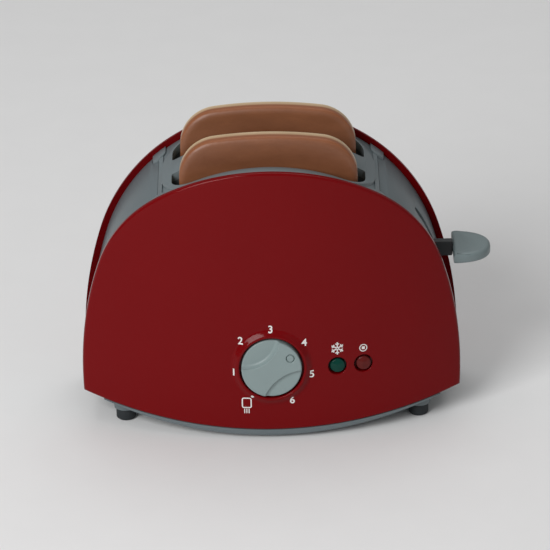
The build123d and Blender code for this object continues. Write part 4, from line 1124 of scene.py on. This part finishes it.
springs = {
    "liftWire": 0.8, "liftRadius": 3.9, "liftTurns": 9.0, "liftClosed": 1.0, "liftTravel": 42.0,
    "pressWire": 0.35, "pressRadius": 1.85, "pressTurns": 3.0, "pressClosed": 0.5,
    "pressTravel": 2.0, "pressFoot": 13.95, "pressHead": 5.15,
}


def makeSpring(name, tree, kind, height, foot, replaced, lean=0.0):
    s = springs
    return grownPiece(name, tree, {
        "Turns": s[kind + "Turns"], "Closed Turns": s[kind + "Closed"], "Height": height,
        "Coil Radius": s[kind + "Radius"], "Wire": s[kind + "Wire"], "Lean": lean,
    }, [foot], replaced)


def makeSprings(s):
    tree = coilTree()
    low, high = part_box("lift_spring")
    rodLow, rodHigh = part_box("guide_rod")
    height = (high.z - low.z) / mm
    spot = (rodLow + rodHigh) / 2 / mm - middle
    lift = makeSpring("liftCoil", tree, "lift", height, (spot.x, spot.y, low.z / mm),
                      ["lift_spring"])
    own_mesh(lift)
    for x, name, node, joint in (
        (buttons["xs"][0], "defrostCoil", "defrost_spring", "defrost_press"),
        (buttons["xs"][1], "stopCoil", "stop_spring", "stop_press"),
    ):
        height = s["pressFoot"] - s["pressHead"] - sag(x)
        foot = shellPoint(x, buttonSlant, s["pressFoot"])
        press = makeSpring(name, tree, "press", height, foot, [node], radians(90 - shell["lean"]))
        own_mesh(press)


makeSprings(springs)

bosses = {
    "x": 50.0, "y": 36.77, "low": 8.76, "tall": 16.0, "radius": 3.4, "bore": 1.4, "boreDeep": 14.0,
    "platePosts": ((16.0, -12.0), (8.0, 23.0), (-31.0, 21.5), (-29.0, -13.0)), "plateDeep": 8.2,
    "guidePosts": ((39.3, 10.0), (54.5, -2.0)), "guideDeep": 14.0,
    "postRadius": 2.6, "pilot": 0.8, "pilotDeep": 4.1, "chamfer": 0.3, "sides": 40,
    "postSink": 1.4,            # from the shell's face to the start of a post
    "screwSpread": 1.8,         # from a screw's lowest point to its seat
}
corners = [(x, y) for x in (-bosses["x"], bosses["x"]) for y in (-bosses["y"], bosses["y"])]


def makePosts(b):
    verts, faces = [], []
    c = b["chamfer"]

    def addPost(place, radius, bore, start, end, deep):
        profile = [(radius, start), (radius, end - c), (radius - c, end), (bore + c / 2, end),
                   (bore, end - c / 2), (bore, end - deep)]
        loft(verts, faces, [[place(x, y, along) for x, y in circle(0, 0, r, b["sides"])]
                            for r, along in profile])

    for posts, base, end in (("platePosts", dialSlant, "plateDeep"),
                             ("guidePosts", buttonSlant, "guideDeep")):
        for u, w in b[posts]:
            addPost(lambda x, y, along: shellPoint(u + x, base + w + y, along), b["postRadius"],
                    b["pilot"], sag(abs(u) + b["postRadius"]) + b["postSink"], b[end],
                    b["pilotDeep"])
    for cx, cy in corners:
        addPost(lambda x, y, along: (cx + x, cy + y, b["low"] + b["tall"] - along), b["radius"],
                b["bore"], 0.0, b["tall"], b["boreDeep"])
    makePiece("shellPosts", closedMesh(verts, faces), "shellRed", "housing")


makePosts(bosses)
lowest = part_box("base_screws")[0].z / mm
grownPiece("baseScrews", screwTree(), {},
           [(x, y, lowest + bosses["screwSpread"]) for x, y in corners], ["base_screws"])
print("springs, posts and screws made")


# grey body, base and small parts keep the CAD shapes, with softened edges
softening = {
    "merge": 0.0005, "flat": 0.2, "crease": 35.0,
    "pieces": {
        # node: piece name, finish, slot, bevel
        # the top cover's grey is the body grey with painted light
        "top_cover": ("topCoverMoulding", "deckGreyPaintedLight", "grey_body", 0.30),
        "left_end_cover": ("leftEndMoulding", "bodyGrey", "grey_body", 0.25),
        "right_end_cover": ("rightEndMoulding", "bodyGrey", "grey_body", 0.25),
        "base_plate": ("baseMoulding", "bodyGrey", "grey_body", 0.20),
        "feet": ("footPads", "footRubber", "dark_rubber", 0.2),
    },
}


def softCopy(s, node, bevel):
    # a CAD node's mesh, merged and flattened, with its crisp edges rounded a little
    bm = bmesh.new()
    bm.from_mesh(nodes[node].data)
    bmesh.ops.remove_doubles(bm, verts=bm.verts, dist=s["merge"] * mm)
    bmesh.ops.dissolve_limit(bm, angle_limit=radians(s["flat"]), verts=bm.verts, edges=bm.edges)
    crisp = [e for e in bm.edges
             if len(e.link_faces) == 2 and e.calc_face_angle(0) > radians(s["crease"])]
    bmesh.ops.bevel(bm, geom=crisp, offset=bevel * mm, offset_type="OFFSET", segments=2,
                    profile=0.5, affect="EDGES", clamp_overlap=True)
    return bm


for node, (name, finish, slotName, bevel) in softening["pieces"].items():
    makePiece(name, softCopy(softening, node, bevel), finish, "housing", [node])
print("body made")

nodeFinishes = {
    "innerDark": ["carriage", "bread_rack_front", "bread_rack_rear", "button_guide",
                  "release_latch"],
    "chuteGrey": ["bread_well_front", "bread_well_rear"],
    "springSteel": ["guide_rod", "latch_pin", "mainspring", "timer_screws", "guide_screws"],
    "plateSteel": ["timer_front_plate", "timer_rear_plate", "timer_pillars"],
    "gearWhite": ["timer_spindle", "drive_gear", "release_cam", "second_gear",
                  "escape_wheel", "pallet"],
}
for finish, names in nodeFinishes.items():
    for name in names:
        slots = nodes[name].data.materials
        slots.clear()
        slots.append(looks[finish])

# floor, backdrop and light
studio = {
    "paper": (0.80, 0.80, 0.80), "paperShade": 0.97, "paperScale": 40.0, "paperRoughness": 0.9,
    "keySize": 1.0, "keyPower": 29.0, "keyAt": (-1.0, -1.35, 1.15),
    "fillSize": 1.6, "fillPower": 1.5, "fillAt": (1.3, -1.1, 0.5),
    "topSize": 1.2, "topPower": 6.0, "topAt": (0.1, 0.5, 1.5),
    "aim": (0.0, 0.0, 0.07), "world": 0.30,
    "floor": 4.0, "bend": 0.8, "rise": 1.4, "sides": 96,
}


def makeStudio(s):
    paper, tree, shader = startMaterial("paper", s["paper"])
    tone = noise(tree, placeIn(tree), s["paperScale"])
    feed(tree, shader, {
        "Base Color": blend(tree, tone, dimmed(s["paper"], s["paperShade"]), s["paper"]),
        "Roughness": s["paperRoughness"],
    })
    # round floor that curves up into a low backdrop, wider than any view of the toaster
    profile = [(s["floor"] / 8, 0.0), (s["floor"], 0.0)]
    profile += [(s["floor"] + s["bend"] * sn, s["bend"] * (1 - cs)) for sn, cs in quarter(12, 1)]
    profile.append((s["floor"] + s["bend"], s["rise"]))
    bm = bmesh.new()
    rows = [[bm.verts.new((x, y, z)) for x, y in circle(0, 0, r, s["sides"])] for r, z in profile]
    bm.faces.new(rows[0])
    for low, high in zip(rows, rows[1:]):
        for i in range(len(low)):
            bm.faces.new((low[i - 1], low[i], high[i], high[i - 1]))
    bmesh.ops.recalc_face_normals(bm, faces=bm.faces)
    mesh = bpy.data.meshes.new("studioFloor")
    bm.to_mesh(mesh)
    bm.free()
    mesh.shade_smooth()
    mesh.materials.append(paper)
    floor = bpy.data.objects.new("studioFloor", mesh)
    scene.collection.objects.link(floor)
    for lamp in ("key", "fill", "top"):
        data = bpy.data.lights.new(lamp, "AREA")
        data.size = s[lamp + "Size"]
        data.energy = s[lamp + "Power"]
        data.shape = "SQUARE"
        light = bpy.data.objects.new(lamp, data)
        light.location = s[lamp + "At"]
        aim = Vector(s["aim"]) - Vector(s[lamp + "At"])
        light.rotation_euler = aim.to_track_quat("-Z", "Y").to_euler()
        scene.collection.objects.link(light)
    world = bpy.data.worlds.new("studio")
    world.use_nodes = True
    feed(world.node_tree, world.node_tree.nodes["Background"].inputs,
         {"Color": (1, 1, 1, 1), "Strength": s["world"]})
    scene.world = world


makeStudio(studio)
print("studio lit")

bpy.context.view_layer.update()
